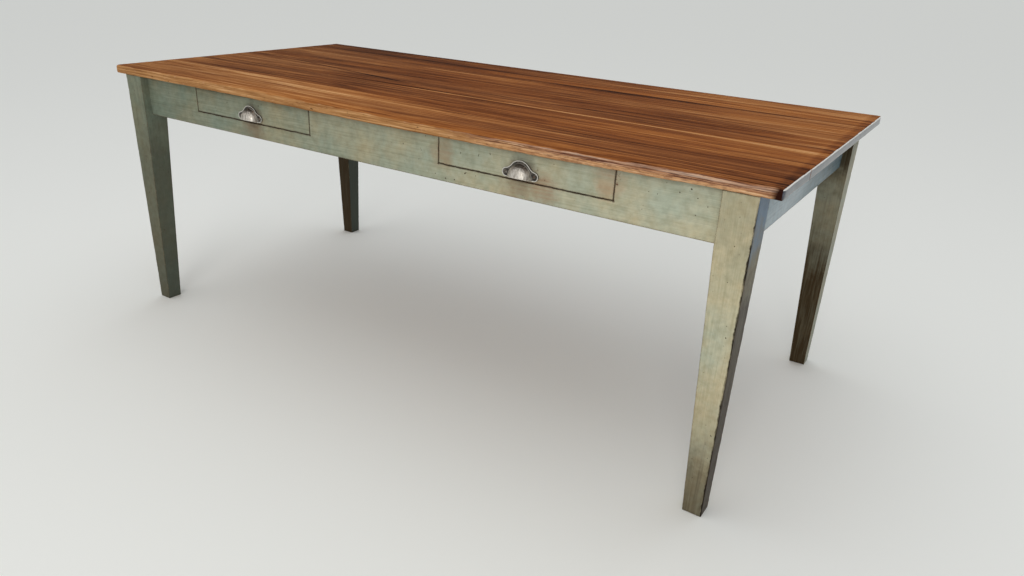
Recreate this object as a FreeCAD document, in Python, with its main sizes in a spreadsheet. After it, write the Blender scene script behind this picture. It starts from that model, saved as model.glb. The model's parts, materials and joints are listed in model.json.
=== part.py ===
"""Kitchen table with two drawers, as a parametric FreeCAD document in millimetres.

The origin is on the floor below the middle of the table.  X runs along the table, Y to the
back and Z up.  The front side, with the drawers, is at negative Y.
"""
import FreeCAD, Part
import Sketcher
import os
import re

# Driving sizes: alias, value, what it measures.
SIZES = (
    ("table_height", 775, "floor to the upper face of the top"),
    ("top_length", 2066, "length of the top"),
    ("top_thickness", 25, "thickness of the top boards"),
    ("board_front_width", 196, "first board from the front"),
    ("board_front_middle_width", 160, "second board"),
    ("board_middle_width", 200, "third board"),
    ("board_back_middle_width", 205, "fourth board"),
    ("board_back_width", 201, "fifth board"),
    ("end_overhang", 41, "top beyond the legs at the ends"),
    ("side_overhang", 6, "top beyond the legs at the front and back"),
    ("top_corner_round", 14, "plan radius of the top's four corners"),
    ("top_edge_round", 8, "radius along the top's outer edges"),
    ("leg_width", 74, "side of the square leg at the aprons"),
    ("foot_width", 46, "side of the square leg at the floor"),
    ("leg_edge_round", 2.5, "radius on the leg's outer corner"),
    ("apron_height", 116, "height of the aprons"),
    ("apron_thickness", 22, "thickness of the aprons"),
    ("apron_setback", 23.5, "aprons behind the outer faces of the legs"),
    ("lower_rail_height", 40.5, "front rail below the drawers"),
    ("tenon_thickness", 10, "thickness of the apron tenons"),
    ("tenon_shoulder", 15, "apron above and below its tenon"),
    ("mortise_web", 5, "wood left between the two mortises of a leg"),
    ("joint_play", 0.2, "play around tenons, housings, tongues and grooves"),
    ("batten_width", 70, "width of the cross battens"),
    ("batten_thickness", 16, "thickness of the cross battens"),
    ("batten_housing", 10, "batten let into the front and back aprons"),
    ("batten_inset", 192, "outer face of the legs to the middle of the end battens"),
    ("block_thickness", 34, "thickness of the diagonal corner blocks"),
    ("block_height", 95, "height of the corner blocks"),
    ("block_rise", 5, "corner blocks above the lower edge of the aprons"),
    ("low_block_drop", 8, "front left corner block below the aprons"),
    ("block_play", 0.4, "play between a corner block and the leg"),
    ("end_stile_width", 233, "front between a leg and the drawer opening next to it"),
    ("opening_width", 468, "width of a drawer opening"),
    ("front_gap", 2, "gap at the ends and the foot of a drawer front"),
    ("slide_gap", 0.3, "play between a drawer and its runners and stops"),
    ("side_play", 1, "play between a drawer side and its guide"),
    ("drawer_headroom", 6, "drawer front and sides below the top"),
    ("drawer_depth", 420, "front face of a drawer to the ends of its sides"),
    ("front_thickness", 20, "thickness of a drawer front"),
    ("front_lip", 8, "drawer front left outside its end rebates"),
    ("side_thickness", 12, "thickness of the drawer sides"),
    ("back_thickness", 12, "thickness of the drawer back"),
    ("back_inset", 8, "drawer back in from the ends of the sides"),
    ("back_housing", 4, "drawer back let into the sides"),
    ("back_lowering", 6, "drawer back below the upper edge of the sides"),
    ("bottom_thickness", 6, "thickness of the drawer bottom"),
    ("bottom_rise", 8, "drawer bottom above the lower edge of the sides"),
    ("groove_depth", 5, "groove for the drawer bottom"),
    ("runner_width", 40, "width of a drawer runner"),
    ("runner_thickness", 20, "height of a drawer runner"),
    ("runner_housing", 6, "runner let into the front rail and back apron"),
    ("guide_thickness", 14, "thickness of a drawer guide"),
    ("guide_height", 30, "height of a drawer guide"),
    ("stop_length", 25, "drawer stop along the runner"),
    ("stop_width", 18, "drawer stop across the runner"),
    ("stop_height", 16, "height of a drawer stop"),
    ("pull_width", 96, "width of a cup pull over its ears"),
    ("pull_height", 42, "height of a cup pull"),
    ("pull_rise", 6, "foot of a cup pull above the lower rail"),
    ("ear_height", 21, "height of the ears of a cup pull"),
    ("plate_thickness", 4, "thickness of the plate of a cup pull at its rim"),
    ("rim_width", 2, "width of the rim around the plate"),
    ("rim_height", 1.5, "rim in front of the face of the plate"),
    ("arch_radius", 24, "radius of the arch of the plate"),
    ("bowl_width", 64, "width of the bowl of a cup pull"),
    ("bowl_height", 36, "height of the bowl"),
    ("bowl_depth", 26, "bowl in front of the drawer front"),
    ("bowl_wall", 2.6, "wall of the bowl"),
    ("lip_rise", 6, "front lip of the bowl above the foot of its plate"),
    ("screw_shank_radius", 2, "radius of the shank of the wood screws"),
    ("screw_head_radius", 4, "radius of the head of the wood screws"),
    ("screw_head_thickness", 2.6, "thickness of the head of the wood screws"),
    ("hole_play", 0.15, "play around screws and nails"),
    ("block_screw_length", 23, "length of the corner block screws"),
    ("block_screw_seat", 9, "block left between a screw head and the apron"),
    ("block_screw_low", 25, "lower screws above the foot of a corner block"),
    ("block_screw_high", 70, "upper screws above the foot of a corner block"),
    ("batten_screw_length", 28, "length of the screws through the battens"),
    ("pull_screw_length", 18, "length of the screws of a cup pull"),
    ("pull_screw_shank", 1.7, "radius of the shank of the pull screws"),
    ("pull_screw_head", 3.6, "radius of the round head of the pull screws"),
    ("nail_radius", 0.8, "radius of a nail"),
    ("nail_head_radius", 1.6, "radius of a nail head"),
    ("nail_head_thickness", 0.8, "thickness of a nail head"),
    ("nail_length", 28, "length of the nails through the drawer sides"),
    ("bottom_nail_length", 22, "length of the nails through the drawer bottom"),
)
ALIASES = [alias for alias, value, meaning in SIZES]

# Places worked out from the driving sizes.
TOP_WIDTH = (
    "(board_front_width + board_front_middle_width + board_middle_width"
    " + board_back_middle_width + board_back_width)"
)
UNDER_TOP = "(table_height - top_thickness)"
APRON_FOOT = f"({UNDER_TOP} - apron_height)"
LEG_X = "(top_length / 2 - end_overhang)"
LEG_Y = f"({TOP_WIDTH} / 2 - side_overhang)"
APRON_OUT_X = f"({LEG_X} - apron_setback)"
APRON_OUT_Y = f"({LEG_Y} - apron_setback)"
APRON_IN_X = f"({APRON_OUT_X} - apron_thickness)"
APRON_IN_Y = f"({APRON_OUT_Y} - apron_thickness)"
CLEAR_X = f"({LEG_X} - leg_width)"
CLEAR_Y = f"({LEG_Y} - leg_width)"
DRAWER_X = f"({CLEAR_X} - end_stile_width - opening_width / 2)"
TENON_IN = "((apron_thickness - tenon_thickness) / 2)"
TENON_LENGTH = f"(leg_width - apron_setback - {TENON_IN} - tenon_thickness - mortise_web)"
SILL = f"({APRON_FOOT} + lower_rail_height)"
DRAWER_FOOT = f"({SILL} + slide_gap)"
SIDE_HEIGHT = f"({UNDER_TOP} - drawer_headroom - {DRAWER_FOOT})"
HALF_DRAWER = "(opening_width / 2 - front_gap)"
BOTTOM_FOOT = f"({DRAWER_FOOT} + bottom_rise)"
BOTTOM_TOP = f"({BOTTOM_FOOT} + bottom_thickness)"
DRAWER_END = f"(drawer_depth - {APRON_OUT_Y})"
FRONT_IN_Y = f"(front_thickness - {APRON_OUT_Y})"
BLOCK_NEAR = "(2 * (leg_width - apron_setback - apron_thickness) + block_play)"
BLOCK_RUN = "(block_thickness * sqrt(2))"
PULL_FOOT = f"({SILL} + pull_rise)"
EAR_RADIUS = "(ear_height / 2)"
EAR_X = f"(pull_width / 2 - {EAR_RADIUS})"
ARCH_DROP = f"(pull_height - arch_radius - {EAR_RADIUS})"
SHOULDER_LEAN = (
    f"(acos((arch_radius - {EAR_RADIUS}) / sqrt({EAR_X}^2 + {ARCH_DROP}^2))"
    f" - atan({ARCH_DROP} / {EAR_X}))"
)

LEFT, RIGHT = -1, 1

doc = FreeCAD.newDocument("kitchen_table")
sheet = doc.addObject("Spreadsheet::Sheet", "Sizes")
nodes = []


def fill_sheet():
    """Write every driving size into its own cell, with its alias."""
    for row, (alias, value, meaning) in enumerate(SIZES, start=1):
        sheet.set(f"A{row}", meaning)
        sheet.set(f"B{row}", str(value))
        sheet.setAlias(f"B{row}", alias)
    doc.recompute()


def bind(thing, place, text):
    """Bind one property to an expression whose words are aliases of the sheet."""
    cells = re.sub(r"[a-z_]+", lambda word: f"Sizes.{word[0]}" if word[0] in ALIASES else word[0], text)
    thing.setExpression(place, cells)


def put(thing, x="0", y="0", z="0", turn=FreeCAD.Rotation()):
    """Place an object at three expressions, turned by a fixed rotation."""
    thing.Placement = FreeCAD.Placement(FreeCAD.Vector(), turn)
    for axis, text in zip("xyz", (x, y, z)):
        bind(thing, f"Placement.Base.{axis}", text)
    return thing


def about_z(degrees):
    return FreeCAD.Rotation(FreeCAD.Vector(0, 0, 1), degrees)


def keep(thing, name):
    """Make an object one of the part's nodes."""
    thing.Label = name
    nodes.append(thing)
    return thing


def block(name, size, corner):
    """Box from three size expressions and the place of its lowest corner."""
    box = doc.addObject("Part::Box", name)
    for side, text in zip(("Length", "Width", "Height"), size):
        bind(box, side, text)
    return put(box, *corner)


def group(name, things):
    made = doc.addObject("Part::Compound", name)
    made.Links = things
    return made


def cut(name, blank, cutters):
    """The blank with every cutter taken away, as a node."""
    made = doc.addObject("Part::Cut", name)
    made.Base = blank
    made.Tool = cutters[0] if len(cutters) == 1 else group(f"{name}_cutters", cutters)
    return keep(made, name)


# PartDesign helpers.  Every sketch lies on one of its own body's origin planes.

def new_body(name):
    body = doc.addObject("PartDesign::Body", name)
    body.Label = name
    return body


def new_sketch(body, name, plane, offset=None):
    sketch = body.newObject("Sketcher::SketchObject", f"{body.Name}_{name}")
    origin = [part for part in body.Origin.OriginFeatures if part.Role == plane]
    sketch.AttachmentSupport = [(origin[0], "")]
    sketch.MapMode = "FlatFace"
    if offset:
        bind(sketch, "AttachmentOffset.Base.z", offset)
    return sketch


def hold(sketch, axis, geometry, point, text):
    """Hold one coordinate of a sketch point at an expression."""
    if text == "0":
        own_axis = -2 if axis == "X" else -1
        sketch.addConstraint(Sketcher.Constraint("PointOnObject", geometry, point, own_axis))
        return
    rule = Sketcher.Constraint(f"Distance{axis}", -1, 1, geometry, point, 1.0)
    number = sketch.addConstraint(rule)
    bind(sketch, f"Constraints[{number}]", text)


def polygon(sketch, corners):
    """Closed outline through points that are pairs of expressions."""
    first = sketch.GeometryCount
    count = len(corners)
    rough = [FreeCAD.Vector(1, 0, 0), FreeCAD.Vector(0, 1, 0)]
    for index in range(count):
        sketch.addGeometry(Part.LineSegment(rough[index % 2], rough[(index + 1) % 2]), False)
    for index, (x, y) in enumerate(corners):
        line = first + index
        following = first + (index + 1) % count
        sketch.addConstraint(Sketcher.Constraint("Coincident", line, 2, following, 1))
        hold(sketch, "X", line, 1, x)
        hold(sketch, "Y", line, 1, y)


def rectangle(sketch, low, high):
    polygon(sketch, (low, (high[0], low[1]), high, (low[0], high[1])))


def circle(sketch, x, y, radius):
    number = sketch.addGeometry(Part.Circle(FreeCAD.Vector(1, 1, 0), FreeCAD.Vector(0, 0, 1), 1), False)
    hold(sketch, "X", number, 3, x)
    hold(sketch, "Y", number, 3, y)
    rule = sketch.addConstraint(Sketcher.Constraint("Radius", number, 1.0))
    bind(sketch, f"Constraints[{rule}]", radius)


def pad(body, sketch, length, backwards=False):
    made = body.newObject("PartDesign::Pad", f"{sketch.Name}_pad")
    made.Profile = sketch
    made.Reversed = backwards
    bind(made, "Length", length)
    body.Tip = made
    return made


def pocket_through(body, sketch):
    """Cut a sketch's outline right through the body, both ways."""
    made = body.newObject("PartDesign::Pocket", f"{sketch.Name}_pocket")
    made.Profile = sketch
    made.Type = "ThroughAll"
    made.Midplane = True
    body.Tip = made
    return made


def pocket(body, sketch, depth):
    """Sink a sketch's outline into the face that it lies on."""
    made = body.newObject("PartDesign::Pocket", f"{sketch.Name}_pocket")
    made.Profile = sketch
    bind(made, "Length", depth)
    body.Tip = made
    return made


def dress(body, kind, wanted, size_name, size):
    """Fillet or chamfer the edges of the body's tip that pass the test."""
    doc.recompute()
    base = body.Tip
    edges = [f"Edge{number}" for number, edge in enumerate(base.Shape.Edges, start=1) if wanted(edge)]
    made = body.newObject(f"PartDesign::{kind}", f"{body.Name}_{kind}")
    made.Base = (base, edges)
    bind(made, size_name, size)
    body.Tip = made
    return made


def is_upright(edge):
    ends = [vertex.Point for vertex in edge.Vertexes]
    return len(ends) == 2 and (ends[1] - ends[0]).cross(FreeCAD.Vector(0, 0, 1)).Length < 1e-6


# Fasteners.  A model screw or nail stands on the origin and points up; copies of it are placed
# where they are driven, and copies of its drill, a little wider, make their holes.

def turned(name, profile):
    """Solid of revolution about Z from a half profile of (radius, height) expressions."""
    body = new_body(name)
    sketch = new_sketch(body, "profile", "XZ_Plane")
    polygon(sketch, profile)
    made = body.newObject("PartDesign::Revolution", f"{name}_turned")
    made.Profile = sketch
    made.ReferenceAxis = (sketch, ["V_Axis"])
    body.Tip = made
    return body


def copies(name, model, places, turn=FreeCAD.Rotation()):
    """Links to one model at a list of (x, y, z) expressions."""
    made = []
    for number, place in enumerate(places, start=1):
        link = doc.addObject("App::Link", f"{name}_{number}")
        link.LinkedObject = model
        made.append(put(link, *place, turn))
    return made


INTO_BACK = FreeCAD.Rotation(FreeCAD.Vector(1, 0, 0), -90)
INTO_FRONT = FreeCAD.Rotation(FreeCAD.Vector(1, 0, 0), 90)
INTO_RIGHT = FreeCAD.Rotation(FreeCAD.Vector(0, 1, 0), 90)
INTO_LEFT = FreeCAD.Rotation(FreeCAD.Vector(0, 1, 0), -90)
UPRIGHT = FreeCAD.Rotation()


def block_screw():
    """Pan-head screw of a corner block: the head stands behind its seat."""
    return turned("block_screw_model", (
        ("0", "-screw_head_thickness"), ("screw_head_radius", "-screw_head_thickness"),
        ("screw_head_radius", "0"), ("screw_shank_radius", "0"),
        ("screw_shank_radius", "block_screw_length - 2 * screw_shank_radius"),
        ("0", "block_screw_length"),
    ))


def block_drill():
    """Hole for a corner block screw, counterbored right out of the block."""
    return turned("block_drill_model", (
        ("0", "-block_thickness"), ("screw_head_radius + hole_play", "-block_thickness"),
        ("screw_head_radius + hole_play", "0"), ("screw_shank_radius + hole_play", "0"),
        ("screw_shank_radius + hole_play", "block_screw_length + hole_play"),
        ("0", "block_screw_length + hole_play"),
    ))


def batten_screw():
    """Countersunk screw, its head flush with the lower face of the batten."""
    return turned("batten_screw_model", (
        ("0", "0"), ("screw_head_radius", "0"), ("screw_shank_radius", "screw_head_thickness"),
        ("screw_shank_radius", "batten_screw_length - 2 * screw_shank_radius"),
        ("0", "batten_screw_length"),
    ))


def batten_drill():
    return turned("batten_drill_model", (
        ("0", "-hole_play"), ("screw_head_radius + hole_play", "-hole_play"),
        ("screw_head_radius + hole_play", "0"),
        ("screw_shank_radius + hole_play", "screw_head_thickness"),
        ("screw_shank_radius + hole_play", "batten_screw_length + hole_play"),
        ("0", "batten_screw_length + hole_play"),
    ))


def pull_screw():
    """Round-head screw of a cup pull."""
    return turned("pull_screw_model", (
        ("0", "-0.7 * pull_screw_head"), ("0.5 * pull_screw_head", "-0.6 * pull_screw_head"),
        ("0.85 * pull_screw_head", "-0.35 * pull_screw_head"), ("pull_screw_head", "0"),
        ("pull_screw_shank", "0"),
        ("pull_screw_shank", "pull_screw_length - 2 * pull_screw_shank"),
        ("0", "pull_screw_length"),
    ))


def pull_drill():
    return turned("pull_drill_model", (
        ("0", "-plate_thickness"), ("pull_screw_shank + hole_play", "-plate_thickness"),
        ("pull_screw_shank + hole_play", "pull_screw_length + hole_play"),
        ("0", "pull_screw_length + hole_play"),
    ))


def nail(name, length, play="0"):
    """Nail whose head is flush with the wood, or its hole when play is given."""
    return turned(name, (
        ("0", "0"), (f"nail_head_radius + {play}", "0"),
        (f"nail_head_radius + {play}", "nail_head_thickness"),
        (f"nail_radius + {play}", "nail_head_thickness"),
        (f"nail_radius + {play}", f"{length} - nail_radius + 2 * {play}"),
        ("0", f"{length} + 2 * {play}"),
    ))


# Top.

def top_board(name, width, front_edge, outer_side=None):
    """One lengthwise board; the outer edges of the top are rounded."""
    board = new_body(f"{name}_blank")
    outline = new_sketch(board, "outline", "XY_Plane")
    rectangle(outline, ("0", "0"), ("top_length", width))
    pad(board, outline, "top_thickness")
    doc.recompute()
    box = board.Tip.Shape.BoundBox
    reach = sheet.top_corner_round

    def on_outer_side(edge):
        middle = edge.CenterOfMass
        if outer_side == "front":
            return middle.y - box.YMin < reach
        return outer_side == "back" and box.YMax - middle.y < reach

    def is_corner(edge):
        return is_upright(edge) and on_outer_side(edge)

    def is_outer(edge):
        middle = edge.CenterOfMass
        at_end = min(middle.x - box.XMin, box.XMax - middle.x) < reach
        return not is_upright(edge) and (at_end or on_outer_side(edge))

    if outer_side:
        dress(board, "Fillet", is_corner, "Radius", "top_corner_round")
    dress(board, "Fillet", is_outer, "Radius", "top_edge_round")
    return put(board, "-top_length / 2", front_edge, UNDER_TOP)


def make_top(batten_drills):
    """Five boards side by side, screwed to three battens from below."""
    boards = (
        ("top_board_front", "board_front_width", "front"),
        ("top_board_front_middle", "board_front_middle_width", None),
        ("top_board_middle", "board_middle_width", None),
        ("top_board_back_middle", "board_back_middle_width", None),
        ("top_board_back", "board_back_width", "back"),
    )
    front_edge = f"-{TOP_WIDTH} / 2"
    for name, width, outer_side in boards:
        cut(name, top_board(name, width, front_edge, outer_side), [batten_drills])
        front_edge += f" + {width}"


def batten_screw_places():
    """One screw for each board in each batten."""
    widths = [alias for alias in ALIASES if alias.startswith("board_")]
    places = []
    for x in (f"batten_inset - {LEG_X}", "0", f"{LEG_X} - batten_inset"):
        front_edge = f"-{TOP_WIDTH} / 2"
        for width in widths:
            places.append((x, f"{front_edge} + {width} / 2", f"{UNDER_TOP} - batten_thickness"))
            front_edge += f" + {width}"
    return places


def batten_blank(name, x, play="0"):
    """A cross batten, or its housing when play is given."""
    length = f"2 * {APRON_IN_Y} + 2 * batten_housing + 2 * {play}"
    size = (f"batten_width + 2 * {play}", length, f"batten_thickness + {play}")
    corner = (f"{x} - batten_width / 2 - {play}", f"-({length}) / 2", f"{UNDER_TOP} - batten_thickness - {play}")
    return block(name, size, corner)


def make_battens(batten_drills):
    """Three battens across the boards; returns the cutters of their housings."""
    housings = []
    for name, x in (("batten_left", f"batten_inset - {LEG_X}"), ("batten_middle", "0"),
                    ("batten_right", f"{LEG_X} - batten_inset")):
        cut(name, batten_blank(f"{name}_blank", x), [batten_drills])
        housings.append(batten_blank(f"{name}_housing", x, "joint_play"))
    return housings


# Legs and aprons.

CORNERS = (
    ("front_left", LEFT, LEFT, 0),
    ("front_right", RIGHT, LEFT, 90),
    ("back_right", RIGHT, RIGHT, 180),
    ("back_left", LEFT, RIGHT, 270),
)


def leg(name):
    """Square leg with its outer corner on the Z axis, tapered on its two inner faces."""
    body = new_body(name)
    section = new_sketch(body, "section", "XY_Plane")
    rectangle(section, ("0", "0"), ("leg_width", "leg_width"))
    pad(body, section, UNDER_TOP)
    for plane in ("XZ_Plane", "YZ_Plane"):
        taper = new_sketch(body, f"taper_{plane[:2]}", plane)
        polygon(taper, (("foot_width", "0"), ("leg_width", "0"), ("leg_width", APRON_FOOT)))
        pocket_through(body, taper)

    def is_outer_corner(edge):
        middle = edge.CenterOfMass
        return is_upright(edge) and max(middle.x, middle.y) < sheet.leg_edge_round

    dress(body, "Fillet", is_outer_corner, "Radius", "leg_edge_round")
    return body


def mortises(name, x, y, turn):
    """Boxes of the two mortises of a leg, in the same place as that leg."""
    depth = f"({TENON_LENGTH} + joint_play)"
    width = "tenon_thickness + 2 * joint_play"
    height = "apron_height - 2 * tenon_shoulder + 2 * joint_play"
    foot = f"{APRON_FOOT} + tenon_shoulder - joint_play"
    near = f"apron_setback + {TENON_IN} - joint_play"
    inner = f"leg_width - {depth}"
    made = []
    for side, size, corner in (
        ("x", (f"{depth} + front_gap", width, height), (inner, near, foot)),
        ("y", (width, f"{depth} + front_gap", height), (near, inner, foot)),
    ):
        made.append(block(f"{name}_mortise_{side}", size, corner))
    both = group(f"{name}_mortises", made)
    return put(both, x, y, "0", turn)


def make_legs():
    for corner, side_x, side_y, degrees in CORNERS:
        name = f"leg_{corner}"
        x, y, turn = f"{side_x} * {LEG_X}", f"{side_y} * {LEG_Y}", about_z(degrees)
        blank = put(leg(f"{name}_blank"), x, y, "0", turn)
        cut(name, blank, [mortises(name, x, y, turn)])


def tenoned_rail(name, length, height, tenon_low, tenon_high, ends=(LEFT, RIGHT)):
    """Rail along X from the origin, its front face on the XZ plane, with a tenon at each named end."""
    body = new_body(name)
    face = new_sketch(body, "face", "XZ_Plane")
    rectangle(face, ("0", "0"), (length, height))
    pad(body, face, "apron_thickness", backwards=True)
    if ends:
        start = f"-{TENON_LENGTH}" if LEFT in ends else f"{length} / 2"
        finish = f"{length} + {TENON_LENGTH}" if RIGHT in ends else f"{length} / 2"
        tongue = new_sketch(body, "tongue", "XZ_Plane", f"-{TENON_IN}")
        rectangle(tongue, (start, tenon_low), (finish, tenon_high))
        pad(body, tongue, "tenon_thickness", backwards=True)
    return body


def make_aprons(housings, runner_housings, block_drills):
    """Plain aprons at the back and the ends."""
    tenon = ("tenon_shoulder", "apron_height - tenon_shoulder")
    back = tenoned_rail("back_apron_blank", f"2 * {CLEAR_X}", "apron_height", *tenon)
    put(back, f"-{CLEAR_X}", APRON_IN_Y, APRON_FOOT)
    cut("back_apron", back, housings + runner_housings + [block_drills])
    for name, x in (("left_apron", f"-{APRON_IN_X}"), ("right_apron", APRON_OUT_X)):
        end = tenoned_rail(f"{name}_blank", f"2 * {CLEAR_Y}", "apron_height", *tenon)
        put(end, x, f"-{CLEAR_Y}", APRON_FOOT, about_z(90))
        cut(name, end, [block_drills])


def make_front(housings, runner_housings, block_drills):
    """Front apron built up from a rail and three stiles; the drawer openings reach up to the top."""
    lower = tenoned_rail("front_rail_lower_blank", f"2 * {CLEAR_X}", "lower_rail_height",
                         "tenon_shoulder", "lower_rail_height")
    put(lower, f"-{CLEAR_X}", f"-{APRON_OUT_Y}", APRON_FOOT)
    cut("front_rail_lower", lower, runner_housings + [block_drills])

    height = f"{UNDER_TOP} - {SILL}"
    tenon_top = f"{height} - tenon_shoulder"
    stiles = (
        ("front_stile_left", f"-{CLEAR_X}", "end_stile_width", (LEFT,)),
        ("front_stile_middle", f"opening_width / 2 - {DRAWER_X}", f"2 * {DRAWER_X} - opening_width", ()),
        ("front_stile_right", f"{DRAWER_X} + opening_width / 2", "end_stile_width", (RIGHT,)),
    )
    for name, x, length, ends in stiles:
        stile = tenoned_rail(f"{name}_blank", length, height, "0", tenon_top, ends)
        put(stile, x, f"-{APRON_OUT_Y}", SILL)
        cut(name, stile, housings + [block_drills])


# Corner blocks.

def corner_block(name):
    """Diagonal block that clears the inner corner of the leg; its corner of the aprons is the origin."""
    body = new_body(name)
    plan = new_sketch(body, "plan", "XY_Plane")
    far = f"{BLOCK_NEAR} + {BLOCK_RUN}"
    polygon(plan, ((BLOCK_NEAR, "0"), (far, "0"), ("0", far), ("0", BLOCK_NEAR)))
    pad(body, plan, "block_height")
    return body


def block_foot(corner):
    lowered = "low_block_drop" if corner == "front_left" else "-block_rise"
    return f"{APRON_FOOT} - {lowered}"


def block_screw_places(corner, side_x, side_y):
    """Two screws into each apron: (place, turn) pairs for one corner."""
    along = f"{BLOCK_NEAR} + {BLOCK_RUN} / 2"
    into_y = INTO_FRONT if side_y == LEFT else INTO_BACK
    into_x = INTO_LEFT if side_x == LEFT else INTO_RIGHT
    pairs = []
    for rise in ("block_screw_low", "block_screw_high"):
        z = f"{block_foot(corner)} + {rise}"
        near_y = (f"{side_x} * ({APRON_IN_X} - {along})", f"{side_y} * ({APRON_IN_Y} - block_screw_seat)", z)
        near_x = (f"{side_x} * ({APRON_IN_X} - block_screw_seat)", f"{side_y} * ({APRON_IN_Y} - {along})", z)
        pairs += [(near_y, into_y), (near_x, into_x)]
    return pairs


def drive_block_screws(name, model):
    """A copy of the model at every corner block screw, as one group."""
    made = []
    for corner, side_x, side_y, degrees in CORNERS:
        for number, (place, turn) in enumerate(block_screw_places(corner, side_x, side_y), start=1):
            made += copies(f"{name}_{corner}_{number}", model, [place], turn)
    return group(name, made)


def make_corner_blocks(block_drills):
    for corner, side_x, side_y, degrees in CORNERS:
        name = f"corner_block_{corner}"
        blank = corner_block(f"{name}_blank")
        put(blank, f"{side_x} * {APRON_IN_X}", f"{side_y} * {APRON_IN_Y}", block_foot(corner), about_z(degrees))
        cut(name, blank, [block_drills])


# Drawer runners, guides and stops.

DRAWERS = (("left", LEFT), ("right", RIGHT))


def middle_of(side):
    return f"{side} * {DRAWER_X}"


def across(side, near, width):
    """Lower X of a strip whose face nearer the drawer's middle is at a distance from it."""
    return near if side == RIGHT else f"-({near}) - {width}"


GUIDE_NEAR = f"({HALF_DRAWER} + side_play)"


def runner_blank(name, drawer, side, play="0"):
    """A runner under one drawer side, or its housing when play is given."""
    near = f"({GUIDE_NEAR} + guide_thickness - runner_width)"
    width = f"(runner_width + 2 * {play})"
    length = f"2 * {APRON_IN_Y} + 2 * runner_housing + 2 * {play}"
    low_x = across(side, f"{near} - {play}", width)
    return block(name, (width, length, f"runner_thickness + {play}"),
                 (f"{middle_of(drawer)} + {low_x}", f"-({length}) / 2", f"{SILL} - runner_thickness - {play}"))


def make_runners():
    """Four runners with their guides and stops; returns the cutters of the runners' housings."""
    housings = []
    for drawer_name, drawer in DRAWERS:
        stops = []
        for side_name, side in DRAWERS:
            ending = f"{drawer_name}_drawer_{side_name}"
            keep(runner_blank(f"runner_{ending}", drawer, side), f"runner_{ending}")
            housings.append(runner_blank(f"runner_{ending}_housing", drawer, side, "joint_play"))
            guide_x = across(side, GUIDE_NEAR, "guide_thickness")
            guide = block(f"guide_{ending}", ("guide_thickness", f"2 * {APRON_IN_Y}", "guide_height"),
                          (f"{middle_of(drawer)} + {guide_x}", f"-{APRON_IN_Y}", SILL))
            keep(guide, f"guide_{ending}")
            stop_x = across(side, f"{GUIDE_NEAR} - stop_width", "stop_width")
            stops.append(block(f"stop_{ending}", ("stop_width", "stop_length", "stop_height"),
                               (f"{middle_of(drawer)} + {stop_x}", f"{DRAWER_END} + slide_gap", SILL)))
        keep(group(f"{drawer_name}_drawer_stops", stops), f"{drawer_name}_drawer_stops")
    return housings


# Drawers.

def drawer_wood(name, middle, nail_drills, pull_drills):
    """The five boards of one drawer: front, two sides, back and bottom."""
    groove = block(
        f"{name}_groove",
        (f"2 * ({HALF_DRAWER} - side_thickness + groove_depth)",
         f"{DRAWER_END} - {FRONT_IN_Y} + groove_depth + front_gap", "bottom_thickness + 2 * joint_play"),
        (f"{middle} - {HALF_DRAWER} + side_thickness - groove_depth", f"{FRONT_IN_Y} - groove_depth",
         f"{BOTTOM_FOOT} - joint_play"))

    front = block(f"{name}_front_blank", (f"2 * {HALF_DRAWER}", "front_thickness",
                                          f"{UNDER_TOP} - drawer_headroom - {SILL} - front_gap"),
                  (f"{middle} - {HALF_DRAWER}", f"-{APRON_OUT_Y}", f"{SILL} + front_gap"))
    rebates = []
    for side_name, side in DRAWERS:
        low_x = across(side, f"{HALF_DRAWER} - side_thickness", "side_thickness")
        rebates.append(block(f"{name}_rebate_{side_name}",
                             ("side_thickness", f"front_thickness - front_lip", "apron_height"),
                             (f"{middle} + {low_x}", f"front_lip - {APRON_OUT_Y}", APRON_FOOT)))
    cut(f"{name}_front", front, rebates + [groove, nail_drills, pull_drills])

    back_y = f"{DRAWER_END} - back_inset - back_thickness"
    back_half = f"({HALF_DRAWER} - side_thickness + back_housing - joint_play)"
    back_housing = block(f"{name}_back_housing",
                         (f"2 * ({HALF_DRAWER} - side_thickness + back_housing)",
                          "back_thickness + 2 * joint_play", "apron_height"),
                         (f"{middle} - {HALF_DRAWER} + side_thickness - back_housing",
                          f"{back_y} - joint_play", BOTTOM_FOOT))
    for side_name, side in DRAWERS:
        low_x = across(side, f"{HALF_DRAWER} - side_thickness", "side_thickness")
        board = block(f"{name}_side_{side_name}_blank",
                      ("side_thickness", "drawer_depth - front_lip", SIDE_HEIGHT),
                      (f"{middle} + {low_x}", f"front_lip - {APRON_OUT_Y}", DRAWER_FOOT))
        cut(f"{name}_side_{side_name}", board, [groove, back_housing, nail_drills])

    back = block(f"{name}_back_blank",
                 (f"2 * {back_half}", "back_thickness",
                  f"{SIDE_HEIGHT} - bottom_rise - bottom_thickness - back_lowering"),
                 (f"{middle} - {back_half}", back_y, BOTTOM_TOP))
    cut(f"{name}_back", back, [nail_drills])

    bottom_half = f"({HALF_DRAWER} - side_thickness + groove_depth - joint_play)"
    bottom = block(f"{name}_bottom_blank",
                   (f"2 * {bottom_half}",
                    f"{back_y} + back_thickness - {FRONT_IN_Y} + groove_depth - joint_play",
                    "bottom_thickness"),
                   (f"{middle} - {bottom_half}", f"{FRONT_IN_Y} - groove_depth + joint_play", BOTTOM_FOOT))
    cut(f"{name}_bottom", bottom, [nail_drills])


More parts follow.
